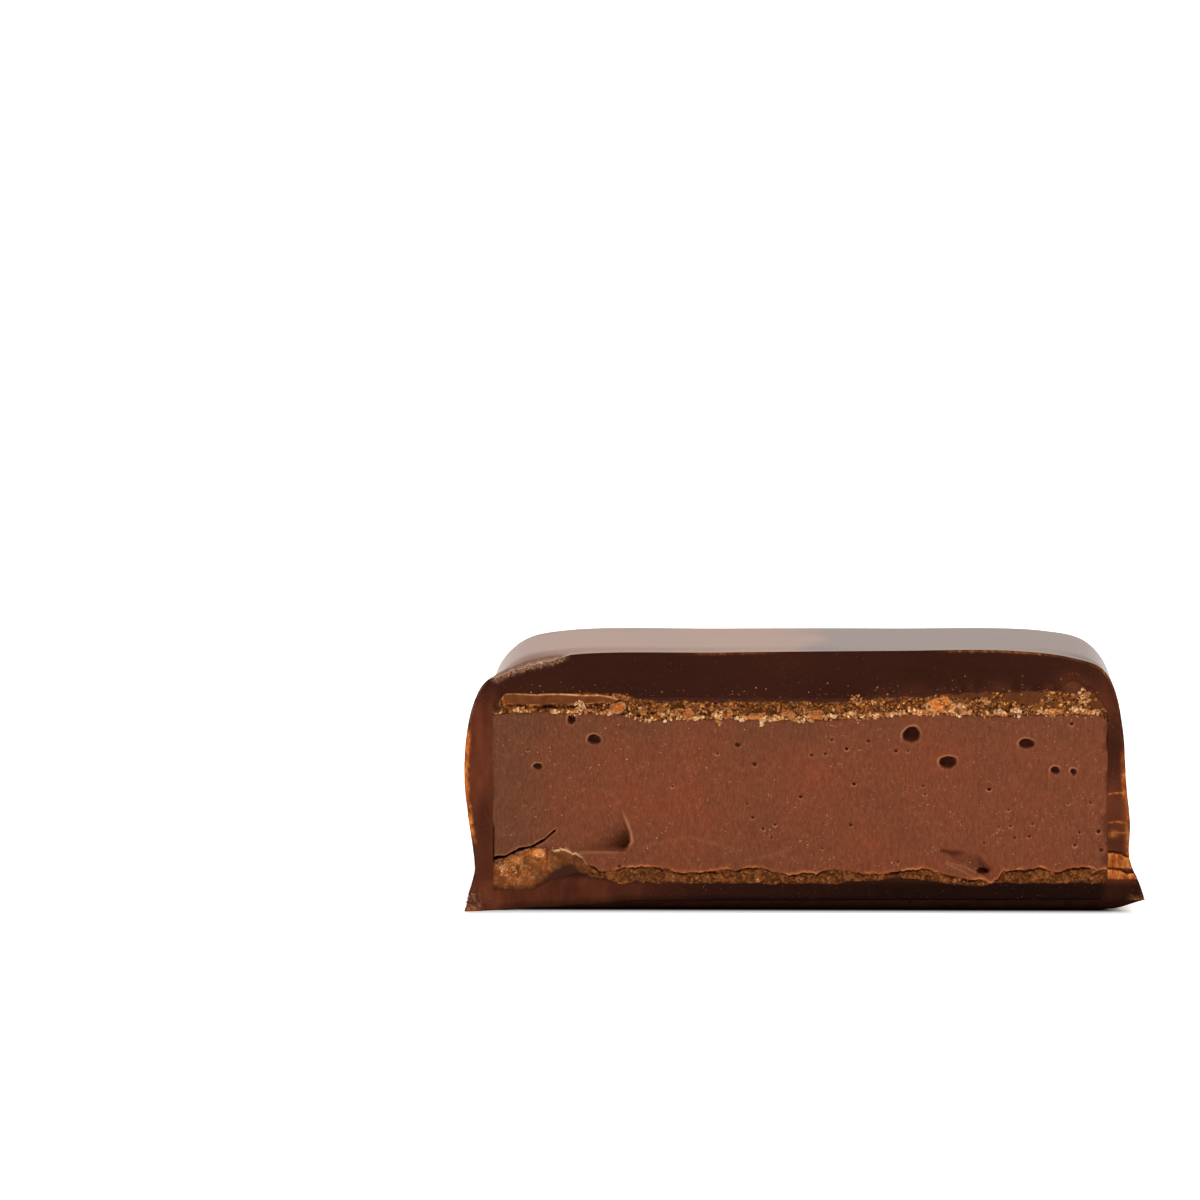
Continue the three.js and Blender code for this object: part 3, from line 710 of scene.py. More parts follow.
def ganache_relief(x, z, up, room):
    rough = functools.partial(face_noise, x, z)
    depth = FACE_DEPTH + 0.012 * np.sin(0.8 * x + 0.5 * z) + 0.01 * rough(2.4, 2, 31)
    depth += (0.004 + 0.006 * smooth((6.4 - z) / 2.5)) * rough(0.14, 2, 32, tall=14)
    depth += 0.004 * rough(0.22, 2, 33)
    # The insides of bubbles, pits, the crack, the dent and the smear get painted shade.
    hollow, lip = np.zeros((2, *x.shape))
    for number, (middle_x, middle_z, wide, tall) in enumerate(BUBBLES):
        near = (abs(x - middle_x) < wide) & (abs(z - middle_z) < tall)
        deep, edge, inside = hollow_at(x[near], z[near], middle_x, middle_z, wide, tall, number)
        # The lip's painted highlight and the inside's painted shade are both stronger toward the upper
        # left, where the light comes from.
        upper_left = smooth(0.5 + (z[near] - middle_z) / tall - 0.5 * (x[near] - middle_x) / wide)
        depth[near] += deep - 0.014 * edge
        lip[near] = most(lip[near], (0.12 + 0.34 * upper_left) * edge)
        hollow[near] = most(hollow[near], (0.7 + 0.25 * upper_left) * inside)
    for number, (middle_x, middle_z, wide) in enumerate(PITS):
        near = (abs(x - middle_x) < 2 * wide) & (abs(z - middle_z) < 2 * wide)
        wide = 0.95 * wide
        deep, edge, inside = hollow_at(x[near], z[near], middle_x, middle_z, wide, 0.86 * wide, number)
        lower = smooth((middle_z - z[near]) / wide + 0.4)
        depth[near] += deep - 0.01 * edge
        lip[near] = most(lip[near], (0.2 + 0.14 * (number % 4)) * edge * lower)
        hollow[near] = most(hollow[near], (0.65 + 0.1 * (number % 4)) * inside)
    dent, dent_lip = dent_at(x, z)
    depth += dent - 0.03 * dent_lip
    reach, width = near_line(x, z, CRACK)
    reach += 0.02 * rough(0.2, 2, 34)
    opened = smooth(1.2 - reach / (width / 2 + 0.01))
    depth += CRACK_DEEP * opened
    hollow = most(hollow, opened, 0.3 * smooth(dent / DENT_DEEP))
    lip = most(lip, 0.4 * dent_lip, 0.25 * bell((reach - width / 2 - 0.05) / 0.04) * (z > 2.3))
    reach, width = near_line(x, z, SMEAR)
    reach += 0.06 * rough(0.5, 3, 37)
    dug = smooth((width / 2 - reach) / 0.22 + 0.5)
    depth += SMEAR_DEEP * dug
    deep, edge, inside = hollow_at(x, z, *SMEAR_HOLE, 5)
    depth += 1.4 * deep
    hollow = most(hollow, 0.45 * dug * smooth(0.7 + rough(0.8, 2, 38)), 0.9 * inside)
    reach, width = near_line(x, z, TONGUE)
    raised = smooth((width / 2 - reach) / 0.14 + 0.6)
    depth -= TONGUE_HIGH * raised
    lip = most(lip, 0.3 * bell((reach - width / 2) / 0.05) * raised)
    for ridge in RIDGES:
        reach, width = near_line(x, z, ridge)
        raised = bell((reach + 0.03 * rough(0.4, 2, 39)) / (width / 2 + 0.05))
        depth -= RIDGE_HIGH * raised
        lip = most(lip, 0.07 * raised)
    # The face rounds back at its borders, and a line opens along parts of its two sides, darkened with
    # painted shade.
    down = room - up
    depth += EDGE_ROUND * (bell(up / 0.07) + bell(down / 0.06))
    beside = bell(np.minimum(x - SLAB_LEFT, SLAB_RIGHT - x) / 0.2)
    depth += (RIM_DEPTH - depth) * beside * (1 - smooth(hollow * 3))
    open_left = smooth((4.2 - z) / 0.3) + 0.3 * hump(z, 5.7, 0.4)
    open_right = hump(z, 8.4, 0.45) + 0.25 * smooth(0.3 + rough(0.6, 3, 40))
    depth += 0.12 * open_left * hump(x, SLAB_LEFT, 0.07)
    depth += 0.1 * open_right * hump(x, SLAB_RIGHT, 0.06)
    dark_left = 0.75 * open_left * hump(x, SLAB_LEFT, 0.06)
    dark_right = 0.75 * open_right * hump(x, SLAB_RIGHT, 0.05)
    ledge = smooth(0.5 + rough(0.7, 3, 35))
    broken = smooth(1.4 * rough(0.35, 3, 36) - 0.1)
    masks = {
        "hollow": most(hollow, dark_left, dark_right),
        "lip": most(lip, 0.75 * hump(up, 0.04, 0.045) * broken),
        "gold": hump(up, 0.05, 0.08) * (0.1 + 0.6 * ledge) * rise(x, -11, 1),
        "brown": 0.8 * smooth((-10.5 - x) / 4) + 0.35 * rise(z, 7.6, 1.5),
        "coat": 0.9 * smooth(0.9 - (SLAB_RIGHT - x) / 0.2 + 1.3 * rough(0.5, 3, 29)),
    }
    return depth, masks


def dent_at(x, z):
    """Depth of the dent, and how much the lip on its right shows, as a painted highlight."""
    wall = np.interp(z, DENT_WALL[:, 1], DENT_WALL[:, 0])
    left = wall - x  # distance to the left of the wall
    upper = 1 - 0.75 * rise(z, 3.1, 1.3) - 0.25 * rise(z, 4.2, 1.0)
    across = smooth(left / 0.16) * (bell(left / 1.0) * 0.6 + bell(left / 2.3) * 0.4)
    floor = smooth((z - DENT_FLOOR_Z - 0.03 * np.sin(3 * x)) / 0.2)
    depth = DENT_DEEP * across * floor * upper
    along = rise(z, 2.95, 0.3) * (1 - rise(z, 4.3, 0.6))
    foot_lip = bell((z - DENT_FLOOR_Z + 0.02) / 0.06) * smooth(left / 0.3) * (1 - rise(left, 2, 1))
    return depth, most(hump(left, -0.05, 0.07) * along, 0.5 * foot_lip)


# ------------------------------------------------------------------ praline

PRALINE_COLUMNS = 860
TOP_ROWS = 40
BASE_ROWS = 30
GRAINS = [(0.36, 0.13, 0.22), (0.19, 0.09, 0.3), (0.1, 0.05, 0.34)]  # size, height, brightness
GRAINS_DEEP = 0.26  # the lowest place between the grains, behind the cut


def crumbled(x, z, seed, pale):
    """Three sizes of packed grains: depth of the crumbly surface, and a brightness for each."""
    rough = functools.partial(face_noise, x, z)
    bend = 0.05 * rough(0.3, 2, seed)
    depth = np.full(x.shape, GRAINS_DEEP)
    bright = 0.24 + 0.1 * rough(0.8, 2, seed + 1)
    for size, tall, share in GRAINS:
        seed += 3
        near, border, own = grains(x + bend, z - bend, size, seed)
        dome = np.sqrt(clamp01(1 - (near / 0.75) ** 2))
        depth -= tall * dome * (0.3 + 0.9 * own)
        bright += share * (own - 0.5) - 0.1 * (1 - smooth(border / 0.25))
    bright += pale * rise(own, 0.74, 0.12) * smooth(dome * 2 - 0.6)
    return depth, bright


def nugget_at(x, z, middle_x, middle_z, wide, tall, seed):
    dx, dz = (x - middle_x) / (wide / 2), (z - middle_z) / (tall / 2)
    reach = np.hypot(dx, dz) * (1 + 0.3 * face_noise(x, z, 0.4, 3, seed))
    return smooth((1.05 - reach) / 0.22), reach


def top_relief(x, z, up, room):
    rough = functools.partial(face_noise, x, z)
    depth, bright = crumbled(x, z, 41, 0.26 + 0.16 * rise(x, 1, 3))
    down = room - up
    # Pale crumbs lie along the ganache, with a hollow line above them darkened with painted shade.
    clumps = smooth(0.25 + 1.4 * face_noise(x, z * 0, 0.6, 3, 51))
    pale_line = hump(up, 0.1, 0.12) * clumps
    bright += 0.5 * pale_line
    depth -= 0.12 * pale_line
    gap_noise = smooth(1.2 * rough(0.6, 3, 52)) * (1 - 0.7 * rise(x, 1, 3))
    gap = 0.85 * bell((up - 0.36 - 0.08 * face_noise(x, z * 0, 0.8, 2, 49)) / 0.08) * gap_noise
    depth += 0.14 * gap
    upper = rise(down, 0.02, 0.3)
    bright -= 0.12 * (1 - upper) * (1 - rise(x, 3, 4))
    # The lens of nut paste at the left, and two patches of it at the right.
    share = clamp01((x - LENS["left"]) / (LENS["right"] - LENS["left"]))
    half = LENS["tall"] / 2 * np.sqrt(1 - share ** 5) * smooth(share / 0.03)
    bow = LENS["middle"] + 0.02 * np.sin(3 * x)
    inside = half - abs(z - bow) + 0.02 * rough(0.25, 2, 53)
    lens = smooth(inside / 0.06) * (x < LENS["right"])
    depth += (0.05 + 0.01 * rough(1.2, 2, 54) - depth) * lens
    lens_top = lens * bell((z - bow - half + 0.045) / 0.05) * (0.4 + 0.6 * rise(x, -14, 2))
    # Under the lens a dark line of painted shade.
    under = (x < LENS["right"] + 0.4) * bell((z - bow + half + 0.1) / 0.1) * rise(x, -14.3, 0.8)
    gap = most(gap * (1 - lens), 0.85 * under * smooth(0.75 + rough(0.4, 3, 55)))
    depth += 0.12 * under
    paste = lens
    for number, (middle_x, middle_z, wide, tall) in enumerate(PATCHES):
        patch, reach = nugget_at(x, z, middle_x, middle_z, wide, tall, 56 + number)
        depth += (0.06 - depth) * patch
        gap *= 1 - patch
        paste = most(paste, patch)
    lens_under = lens * bell((z - bow + half - 0.04) / 0.04) * smooth(0.2 + rough(0.35, 3, 50))
    lens_edge = most(lens_top, 0.8 * lens_under, lens * hump(share, 0.01, 0.012))
    amber = lens_edge
    nugget_rim = lens_top * (0.15 + 0.6 * smooth(0.3 + 1.5 * rough(0.2, 3, 46)))
    depth -= 0.05 * lens_edge
    for number, (middle_x, middle_z, wide, tall) in enumerate(NUGGETS):
        lump, reach = nugget_at(x, z, middle_x, middle_z, wide, tall, 60 + number)
        crown = 0.12 * np.sqrt(clamp01(1 - reach ** 2)) + 0.05 * rough(0.22, 3, 58)
        depth += (0.14 - crown - depth) * lump
        patchy = smooth(0.75 + rough(0.3, 3, 59))
        amber = most(amber, lump * (1.0 if number == 0 else 0.6) * patchy)
        lower = smooth(0.6 + (middle_z - z) / tall) if number == 0 else 0.4
        nugget_rim = most(nugget_rim, hump(reach, 0.92, 0.1) * lower)
        gap *= 1 - lump
        paste = paste * (1 - lump)
    depth += 0.03 * bell(down / 0.05)
    # The coat's chocolate runs in among the upper crumbs.
    reach_in = 0.05 + 0.15 * rise(x, -9, 2) * (1 - rise(x, 5.5, 3))
    coat = smooth((reach_in + 0.07 * rough(0.22, 4, 57) - down) / 0.08 + 0.5)
    coat *= 1 - lens
    # At its upper right the coat bulges down into the praline, with a softer, paler middle.
    bulge = smooth((z - 10.62 - 0.12 * rough(0.4, 3, 48)) / 0.1) * rise(x, 11.6, 0.3)
    bulge = most(bulge, smooth((x - 13.95 - 0.1 * rough(0.4, 3, 47)) / 0.1) * (z > 9.9))
    soft_middle = 0.5 * bell(np.hypot(x - 13.1, z - 10.98) / 0.5)
    bulge_coat = bulge * (0.9 - most(soft_middle, 0.5 * rise(x, 13.7, 0.5)))
    left_coat = 0.8 * smooth((-14.86 - x) / 0.1 + 0.5)
    coat = most(coat, bulge_coat, 0.35 * smooth((paste - lens) * 1.5), left_coat)
    paste = most(paste, bulge)
    depth += (0.04 - depth) * coat
    masks = {
        "grain": bright, "paste": paste, "amber": amber, "pale": 0.8 * nugget_rim,
        "speck": np.full_like(x, 0.75), "gap": gap, "coat": 0.95 * coat,
    }
    return depth, masks


def base_relief(x, z, up, room):
    rough = functools.partial(face_noise, x, z)
    depth, bright = crumbled(x, z, 71, 0.2)
    down = room - up
    chunk = 1 - rise(x, -11.6, 1.5)
    # Under the ganache's ledge the layer lies in shadow, and it is finer than the upper one.
    shadow = (1 - chunk) * bell(down / 0.09) * smooth(0.6 + rough(0.5, 3, 81))
    depth = depth + 0.16 * shadow - 0.06 * (1 - chunk)
    bright -= 0.03 * (1 - chunk)
    # The lump at the lower left: a sparkling tip, crumbs at its top, a golden nut, a smooth body.
    tip = hump(x, -14.45, 0.55) * hump(z, 1.95, 0.34)
    top_crumbs = hump(x, -13.5, 0.7) * rise(z, 2.0, 0.3)
    nut = smooth((1.1 - np.hypot(x + 12.95, 1.4 * (z - 2.72)) / 0.3) / 0.2)
    lobe = rise(x, -12.5, 0.25) * chunk
    crumbs = chunk * clamp01(tip + 0.8 * top_crumbs)
    sparkle = smooth(3 * rough(0.14, 3, 84) - 0.8)
    uneven = 0.35 + 1.3 * smooth(0.5 + 0.9 * rough(0.35, 3, 86))
    bright += chunk * (0.2 * tip - 0.12 - 0.1 * lobe + 0.12 * (uneven - 1))
    silky = chunk * (1 - 0.85 * smooth(1.4 * crumbs)) * (1 - 0.5 * sparkle)
    depth += (0.1 - depth) * 0.6 * chunk - 0.05 * chunk * rough(0.5, 3, 85)
    depth += 0.1 * hump(x, -12.55, 0.08) * chunk
    # The pale ridge under the ganache's edge and the sparkle at the tip are painted highlights.
    ridge = hump(down, 0.05, 0.05) * rise(x, -12.4, 0.3) * (1 - rise(x, -10.7, 0.5))
    pale = most(0.8 * ridge, chunk * sparkle * (0.08 + 0.6 * tip), 0.15 * nut)
    hole = hump(x, 8.5, 0.3) * hump(z, 1.72, 0.2)
    depth += 0.3 * hole
    reach_in = 0.05 + chunk * (0.1 + 0.5 * rise(x, -13.2, 1.6) * (1 - rise(x, -11.4, 0.6)))
    coat = smooth((reach_in + 0.08 * rough(0.22, 4, 83) - up) / (0.1 + 0.3 * chunk) + 0.5)
    depth += (0.04 - depth) * coat
    masks = {
        "grain": bright,
        "paste": silky + 0.4 * (1 - chunk),
        "amber": chunk * (0.16 - 0.12 * lobe + 0.3 * crumbs + 0.4 * tip) * uneven + 0.6 * nut,
        "pale": pale,
        "speck": 0.4 * (1 - chunk) + 0.2 * tip,
        "gap": 0.9 * shadow + hole + 0.6 * hump(x, -12.55, 0.06) * chunk * (z > 2.4),
        "coat": 0.95 * coat,
    }
    return depth, masks


# ------------------------------------------------------------------ coat

OVER = 1400  # points over the coat from foot to foot
UNDER = 560  # points back along the base
LOOP = OVER + UNDER
CURVE_STEPS = 40  # points to each stretch of an outline
BORDER_LONG = 3000  # points along the filling's top, and up each of its sides
BORDER_SHORT = 400
BEVEL_DEEP = 0.16  # the crumbly bevel of the scraped edge
BEVEL_ROUGH = 0.07
EDGE_RAGGED = 0.03  # how uneven the cut's outer line is, and how deep it is torn at the feet
FOOT_TORN = 0.1
RING_STOPS = [
    0.0, 0.03, 0.08, 0.15, 0.25, 0.4, 0.6, 0.85, 1.15, 1.5, 1.9, 2.4, 3.0, 3.7, 4.5, 5.4, 6.4, 7.4,
    8.4, 9.4, 10.4, 11.3, 12.1, 12.8, 13.4, 13.9, 14.3, 14.7, 15.0, 15.25, 15.45, 15.62, 15.76,
    15.87, 15.95, 15.99, 16.0,
]
CAP_STEPS = [
    0.97, 0.93, 0.88, 0.82, 0.76, 0.7, 0.64, 0.57, 0.5, 0.43, 0.36, 0.29, 0.22, 0.15, 0.08, 0.0,
]
RIM_STEPS = [
    0.0, 0.02, 0.045, 0.075, 0.11, 0.15, 0.19, 0.235, 0.28, 0.33, 0.38, 0.43, 0.48, 0.53, 0.58,
    0.63, 0.68, 0.73, 0.78, 0.82, 0.86, 0.9, 0.935, 0.965, 0.985, 1.0,
]
SCRAPE = (-15.35, -12.2)  # where the knife scraped the upper left edge
RIM_CRACKS = [(5.71, 0.75), (4.29, 0.7), (3.78, 0.45)]  # across the right wall: z and strength
RIM_FLAKES = [(2.78, 2.02, 0.0), (1.98, 1.5, 0.04)]  # torn half off: top and foot in z, and how far
CAVITY_STEPS = (CUT_Y + 0.5, 0.0, SLAB_BACK + 2 * SEAM)  # rings of the space for the filling, in y


def drawn_in(y, radius):
    t = clamp01((y - (BACK_Y - radius)) / radius)
    return radius * (1 - np.sqrt(1 - t * t))


def lump_out(side, along, z):
    return sum(
        lump["out"] * bell((along - lump["along"]) / lump["reach"]) * bell((z - lump["z"]) / lump["tall"])
        for lump in LUMPS if lump["side"] == side
    )


def over_curve(walls):
    return centripetal(CUT_OUTLINE + (WALL_OUTLINE - CUT_OUTLINE) * walls, CURVE_STEPS)


def section(y):
    """The coat's outline at a distance y, as a closed loop of [x, z]."""
    over = over_curve(rise(y, CUT_Y, CUT_FADE))
    length = lengths_along(over)[-1]
    over = spaced(over, np.linspace(0, length, OVER))
    over[:, 1] = most(over[:, 1], FOOT_Z)
    left_x, right_x = over[0, 0], over[-1, 0]
    t = np.arange(1, UNDER + 1) / (UNDER + 1)
    under_x = right_x + (left_x - right_x) * t
    cut_z = height_at(CUT_BASE, under_x)
    settled = cut_z + (FOOT_Z - cut_z) * rise(y, CUT_Y, BASE_FADE)
    on_board = smooth((y - FLAT["front"]) / 0.6 + 1) * (1 - smooth((y - FLAT["back"]) / 0.5))
    on_flat = 1 - smooth((abs(under_x) - FLAT["reach"]) / 0.5)
    under = np.stack([under_x, settled + (BOARD - settled) * on_board * on_flat], axis=1)
    return np.concatenate([over, under])


def scraped(x, z):
    start, end = SCRAPE
    along = rise(x, start, 0.4) * (1 - rise(x, end, 0.9))
    return along * (z > 10)


def ring(y):
    """One ring of the coat's skin, N x 3."""
    x, z = section(y).T
    narrower = (WALL_REACH - drawn_in(y, BACK_CORNER)) / WALL_REACH
    lift = drawn_in(y, BASE_EDGE)
    tall = WALL_TOP - BOARD
    lower = (tall - drawn_in(y, BACK_EDGE) - lift) / tall
    near_back = smooth((y - (BACK_Y - BACK_CORNER)) / BACK_CORNER)
    near_cut = rise(y, CUT_Y, CUT_FADE)
    side = np.sign(x)
    wall = smooth(z / LUMP_FOOT) * (1 - rise(z, LUMP_SHOULDER, LUMP_FADE))
    upright = wall * smooth((abs(x) - LUMP_INNER) / LUMP_FADE)
    right_out = lump_out(1, y, z) * (side > 0)
    left_out = lump_out(-1, y, z) * (side < 0)
    out = (right_out + left_out) * upright * near_cut
    sunk = lump_out(0, x, z) * near_back * smooth(z / LUMP_FOOT)
    high = BOARD + lift + (z - BOARD) * lower
    points = np.stack([x * narrower + side * out, y + sunk, high], axis=1)
    # The knife's edge: a crumbly bevel at the upper left, and a slightly ragged line all round.
    behind = y - CUT_Y
    crumbly = fractal(points, 0.16, 3, 91)
    bevel = scraped(x, z) * bell(behind / 0.4) * (BEVEL_DEEP + BEVEL_ROUGH * crumbly)
    points[:, 2] -= bevel
    edge = bell(behind / 0.12) * upright
    points[:, 0] -= side * edge * (EDGE_RAGGED + EDGE_RAGGED * fractal(points, 0.5, 3, 92))
    torn = bell(behind / 0.2) * smooth((1.0 - z) / 0.5) * smooth((abs(x) - 15.4) / 0.6)
    points[:, 0] -= side * torn * abs(FOOT_TORN * fractal(points, 0.22, 3, 93))
    return points


def milk_share(points):
    """How much milk chocolate marbles the dark coat at these places on its skin."""
    x, y, z = points.T
    drop = WALL_TOP - z
    round_side = smooth((abs(x) - 13.6) / 2)
    round_back = rise(y, 5.6, 2)
    u = x + np.sign(x) * drop * round_side
    v = y + drop * round_back
    warp = np.stack([u, v, np.zeros_like(u)], axis=1)
    u = u + 1.3 * fractal(warp, 6.0, 2, 101)
    v = v + 1.3 * fractal(warp, 6.0, 2, 102)
    milk = np.zeros_like(u)
    for line in MARBLING:
        reach, width = near_line(u, v, line)
        milk = most(milk, clamp01(0.5 + (width / 2 - reach) / MARBLE_SLOPE))
    for line in DARK_VEINS:
        reach, width = near_line(u, v, line)
        milk = np.minimum(milk, clamp01(0.5 - (width / 2 - reach) / MARBLE_SLOPE))
    return milk


# Streams of milk chocolate over the coat laid out flat, [x, y, width]: past the top's edges, x and
# y run on down the walls. Their share goes from none to all over MARBLE_SLOPE millimetres.
MARBLE_SLOPE = 6.0
MARBLING = [
    np.array([[-18, -8, 12], [-9, -7, 14], [-5.4, -5, 13], [-5, 0, 14], [-6, 5, 15], [-8, 9, 9]]),
    np.array([[-8, 7, 7], [-6, 12, 6], [-7, 17, 5.4], [-6, 24, 6]]),
    np.array([[18, 6, 2], [20, 3.4, 4], [23, 2.6, 5], [30, 3.6, 4]]),
    np.array([[-13, 1, 5], [-17, 2.4, 6], [-22, 1.6, 5], [-29, 2.4, 5.6]]),
    np.array([[3, 13, 2], [8, 12, 4.6], [11, 16, 4], [10, 24, 5]]),
]
DARK_VEINS = [
    np.array([[-27, 0.6, 2.2], [-22, 2.2, 1.4], [-18, 1.2, 0.2]]),
    np.array([[-2.5, 17, 2], [-5.6, 14.4, 1.2], [-9, 13, 0.2]]),
]


def facing_filling():
    """For each point of the cut's outline, the point of the filling's border that it faces."""
    over_fine = over_curve(0.0)
    outer_along = lengths_along(over_fine)
    knot_stops = outer_along[np.array(CORNER_KNOTS) * CURVE_STEPS]
    x = np.linspace(SLAB_LEFT, SLAB_RIGHT, BORDER_LONG)
    top = np.stack([x, filling_top(x)], axis=1)
    low = filling_bottom(x)
    left_z = np.linspace(low[0], top[0, 1], BORDER_SHORT)
    right_z = np.linspace(top[-1, 1], low[-1], BORDER_SHORT)
    left = np.stack([np.full(BORDER_SHORT, SLAB_LEFT), left_z], axis=1)
    right = np.stack([np.full(BORDER_SHORT, SLAB_RIGHT), right_z], axis=1)
    inner = np.concatenate([left, top[1:-1], right])
    inner_along = lengths_along(inner)
    inner_stops = [
        inner_along[np.linalg.norm(inner - corner, axis=1).argmin()] for corner in FILLING_CORNERS
    ]
    inner_stops[0], inner_stops[-1] = 0.0, inner_along[-1]
    stops = np.interp(np.linspace(0, outer_along[-1], OVER), knot_stops, inner_stops)
    over = spaced(inner, stops)
    t = np.arange(1, UNDER + 1) / (UNDER + 1)
    under_x = SLAB_RIGHT + (SLAB_LEFT - SLAB_RIGHT) * t
    return np.concatenate([over, np.stack([under_x, filling_bottom(under_x)], axis=1)])


def rim_relief(x, z, edge, inner_edge):
    """Depth and masks of the coat's cut rim, edge being the distance from its outer border."""
    rough = functools.partial(face_noise, x, z)
    inward = smooth(inner_edge / 0.4)
    depth = RIM_DEPTH + 0.012 * inward * rough(1.6, 3, 111)
    depth += 0.004 * rough(0.2, 2, 112) + 0.05 * bell(edge / 0.04)
    left = smooth((-x - 14.7) / 0.5)
    right = rise(x, 14.3, 0.5)
    below_shoulder = 1 - rise(z, 9.6, 1.6)
    broken = smooth(0.5 + rough(0.5, 4, 113))
    # On the side walls the warm colour is painted glow of light through the thin coat. The patches over the
    # praline, by the bulge and low at the left are only lighter and redder there.
    painted_glow_left = left * below_shoulder * (0.5 + 0.35 * rise(z, 4, 3))
    painted_glow_right = right * (0.28 + 0.42 * smooth((7.5 - z) / 2.5)) * below_shoulder
    bottom = (1 - rise(z, 1.3, 0.4)) * smooth((-x - 4) / 8)
    over_praline = bell((z - height_at(COAT_ABOVE_FILLING, x)) / 0.45) * (z > 9.6) * rise(x, 2, 5)
    beside_bulge = bell(np.hypot((x - 14.5) / 0.7, (z - 10.1) / 1.3))
    above_bulge = 0.75 * bell(np.hypot((x - 13.1) / 0.8, (z - 11.1) / 0.55))
    warm = most(
        painted_glow_left + painted_glow_right, 0.8 * bottom, 0.34 * over_praline * smooth(0.8 + rough(0.7, 3, 110)),
        0.6 * beside_bulge, 0.6 * above_bulge,
    )
    warm *= 1 - 0.5 * right * hump(z, 8.0, 1.2)
    above_base = z - height_at(CUT_BASE, x)
    # shade is painted shade: the cut rim darkens low down, most of all along its bottom edge, and more
    # toward the right.
    shade = smooth((1.7 - z) / 0.6) * (0.1 + 0.65 * rise(x, -10, 15)) * (1 - left)
    low_shade = smooth((0.55 - above_base) / 0.5) * (0.55 + 0.35 * rise(x, -10, 12))
    shade = most(shade, low_shade * (1 - 0.7 * left) * (1 - 0.4 * right))
    # The rim mask is painted light: glow through the thin left, right and top edges, the cracks, the flakes
    # and the feet, and a highlight along the right shoulder.
    rim_left = left * rise(z, 3, 1) * (1 - rise(z, 8.4, 0.6))
    rim_right = right * rise(z, 2.2, 0.5) * (1 - 0.85 * rise(z, 7, 1.2))
    rim = smooth(1.4 - edge / 0.2 + 0.5 * rough(0.5, 4, 119)) * rim_left * (0.75 + 0.25 * broken)
    right_glow_line = bell(edge / 0.16) * rim_right * (0.35 + 0.6 * broken) * smooth((9.5 - z) / 4 + 0.5)
    top_glow_line = (z > 11) * hump(edge, 0.06, 0.05)
    top_glow_line *= most(hump(x, -3.6, 1.6), rise(x, 6, 1.5)) * (0.4 + 0.6 * broken)
    shoulder_highlight = hump(edge, 0.05, 0.07) * rise(x, 13, 1) * (z > 8.5)
    rim = most(rim, right_glow_line, 0.3 * top_glow_line, 0.2 * shoulder_highlight * broken)
    # Thin cracks across the right wall, and two flakes torn half off under them, both painted with the
    # rim's glow.
    for crack_z, strength in RIM_CRACKS:
        line = crack_z + 0.04 * rough(0.4, 2, 114)
        crack = hump(z, line, 0.045) * right * (x > 14.75)
        rim = most(rim, strength * crack)
        depth += 0.06 * crack
    for top_z, low_z, out in RIM_FLAKES:
        line = top_z + 0.12 * face_noise(x, z * 0, 0.35, 3, 115) - 0.16 * (x - 15.3)
        inside = rise(line, z, 0.05) * rise(z, low_z, 0.08) * right * (x > 14.75)
        rim = most(rim, inside * (0.45 + 0.55 * hump(z, line, 0.12)))
        depth += 0.14 * bell((z - line - 0.05) / 0.06) * right - out * inside
    rim = most(rim, 0.35 * bell(np.hypot(x - 15.0, (z - 3.75) * 1.3) / 0.2))
    foot = smooth((abs(x) - 15.6) / 0.5) * smooth((1.1 - z) / 0.6)
    scrape = scraped(x, z) * bell(edge / 0.16)
    outline = hump(edge, 0.03, 0.05) * left * rise(z, 8.6, 0.6)
    foot_crumbs = 0.5 * foot * smooth(1.6 * rough(0.14, 3, 116))
    scrape = most(scrape, 0.6 * outline * smooth(0.6 + rough(0.2, 3, 109)), foot_crumbs)
    rim = most(rim, foot * bell((z - height_at(CUT_BASE, x)) / 0.2) * (0.3 + 0.1 * (x < 0)) * broken)
    depth += 0.05 * scrape * (1 + rough(0.1, 2, 117))
    depth += 0.1 * bell(edge / 0.12) * (rim_left + rim_right) * smooth(2 * rough(0.6, 3, 118))
    masks = {"warm": warm, "shade": shade, "rim": rim, "scrape": scrape}
    return depth, {key: clamp01(mask) for key, mask in masks.items()}


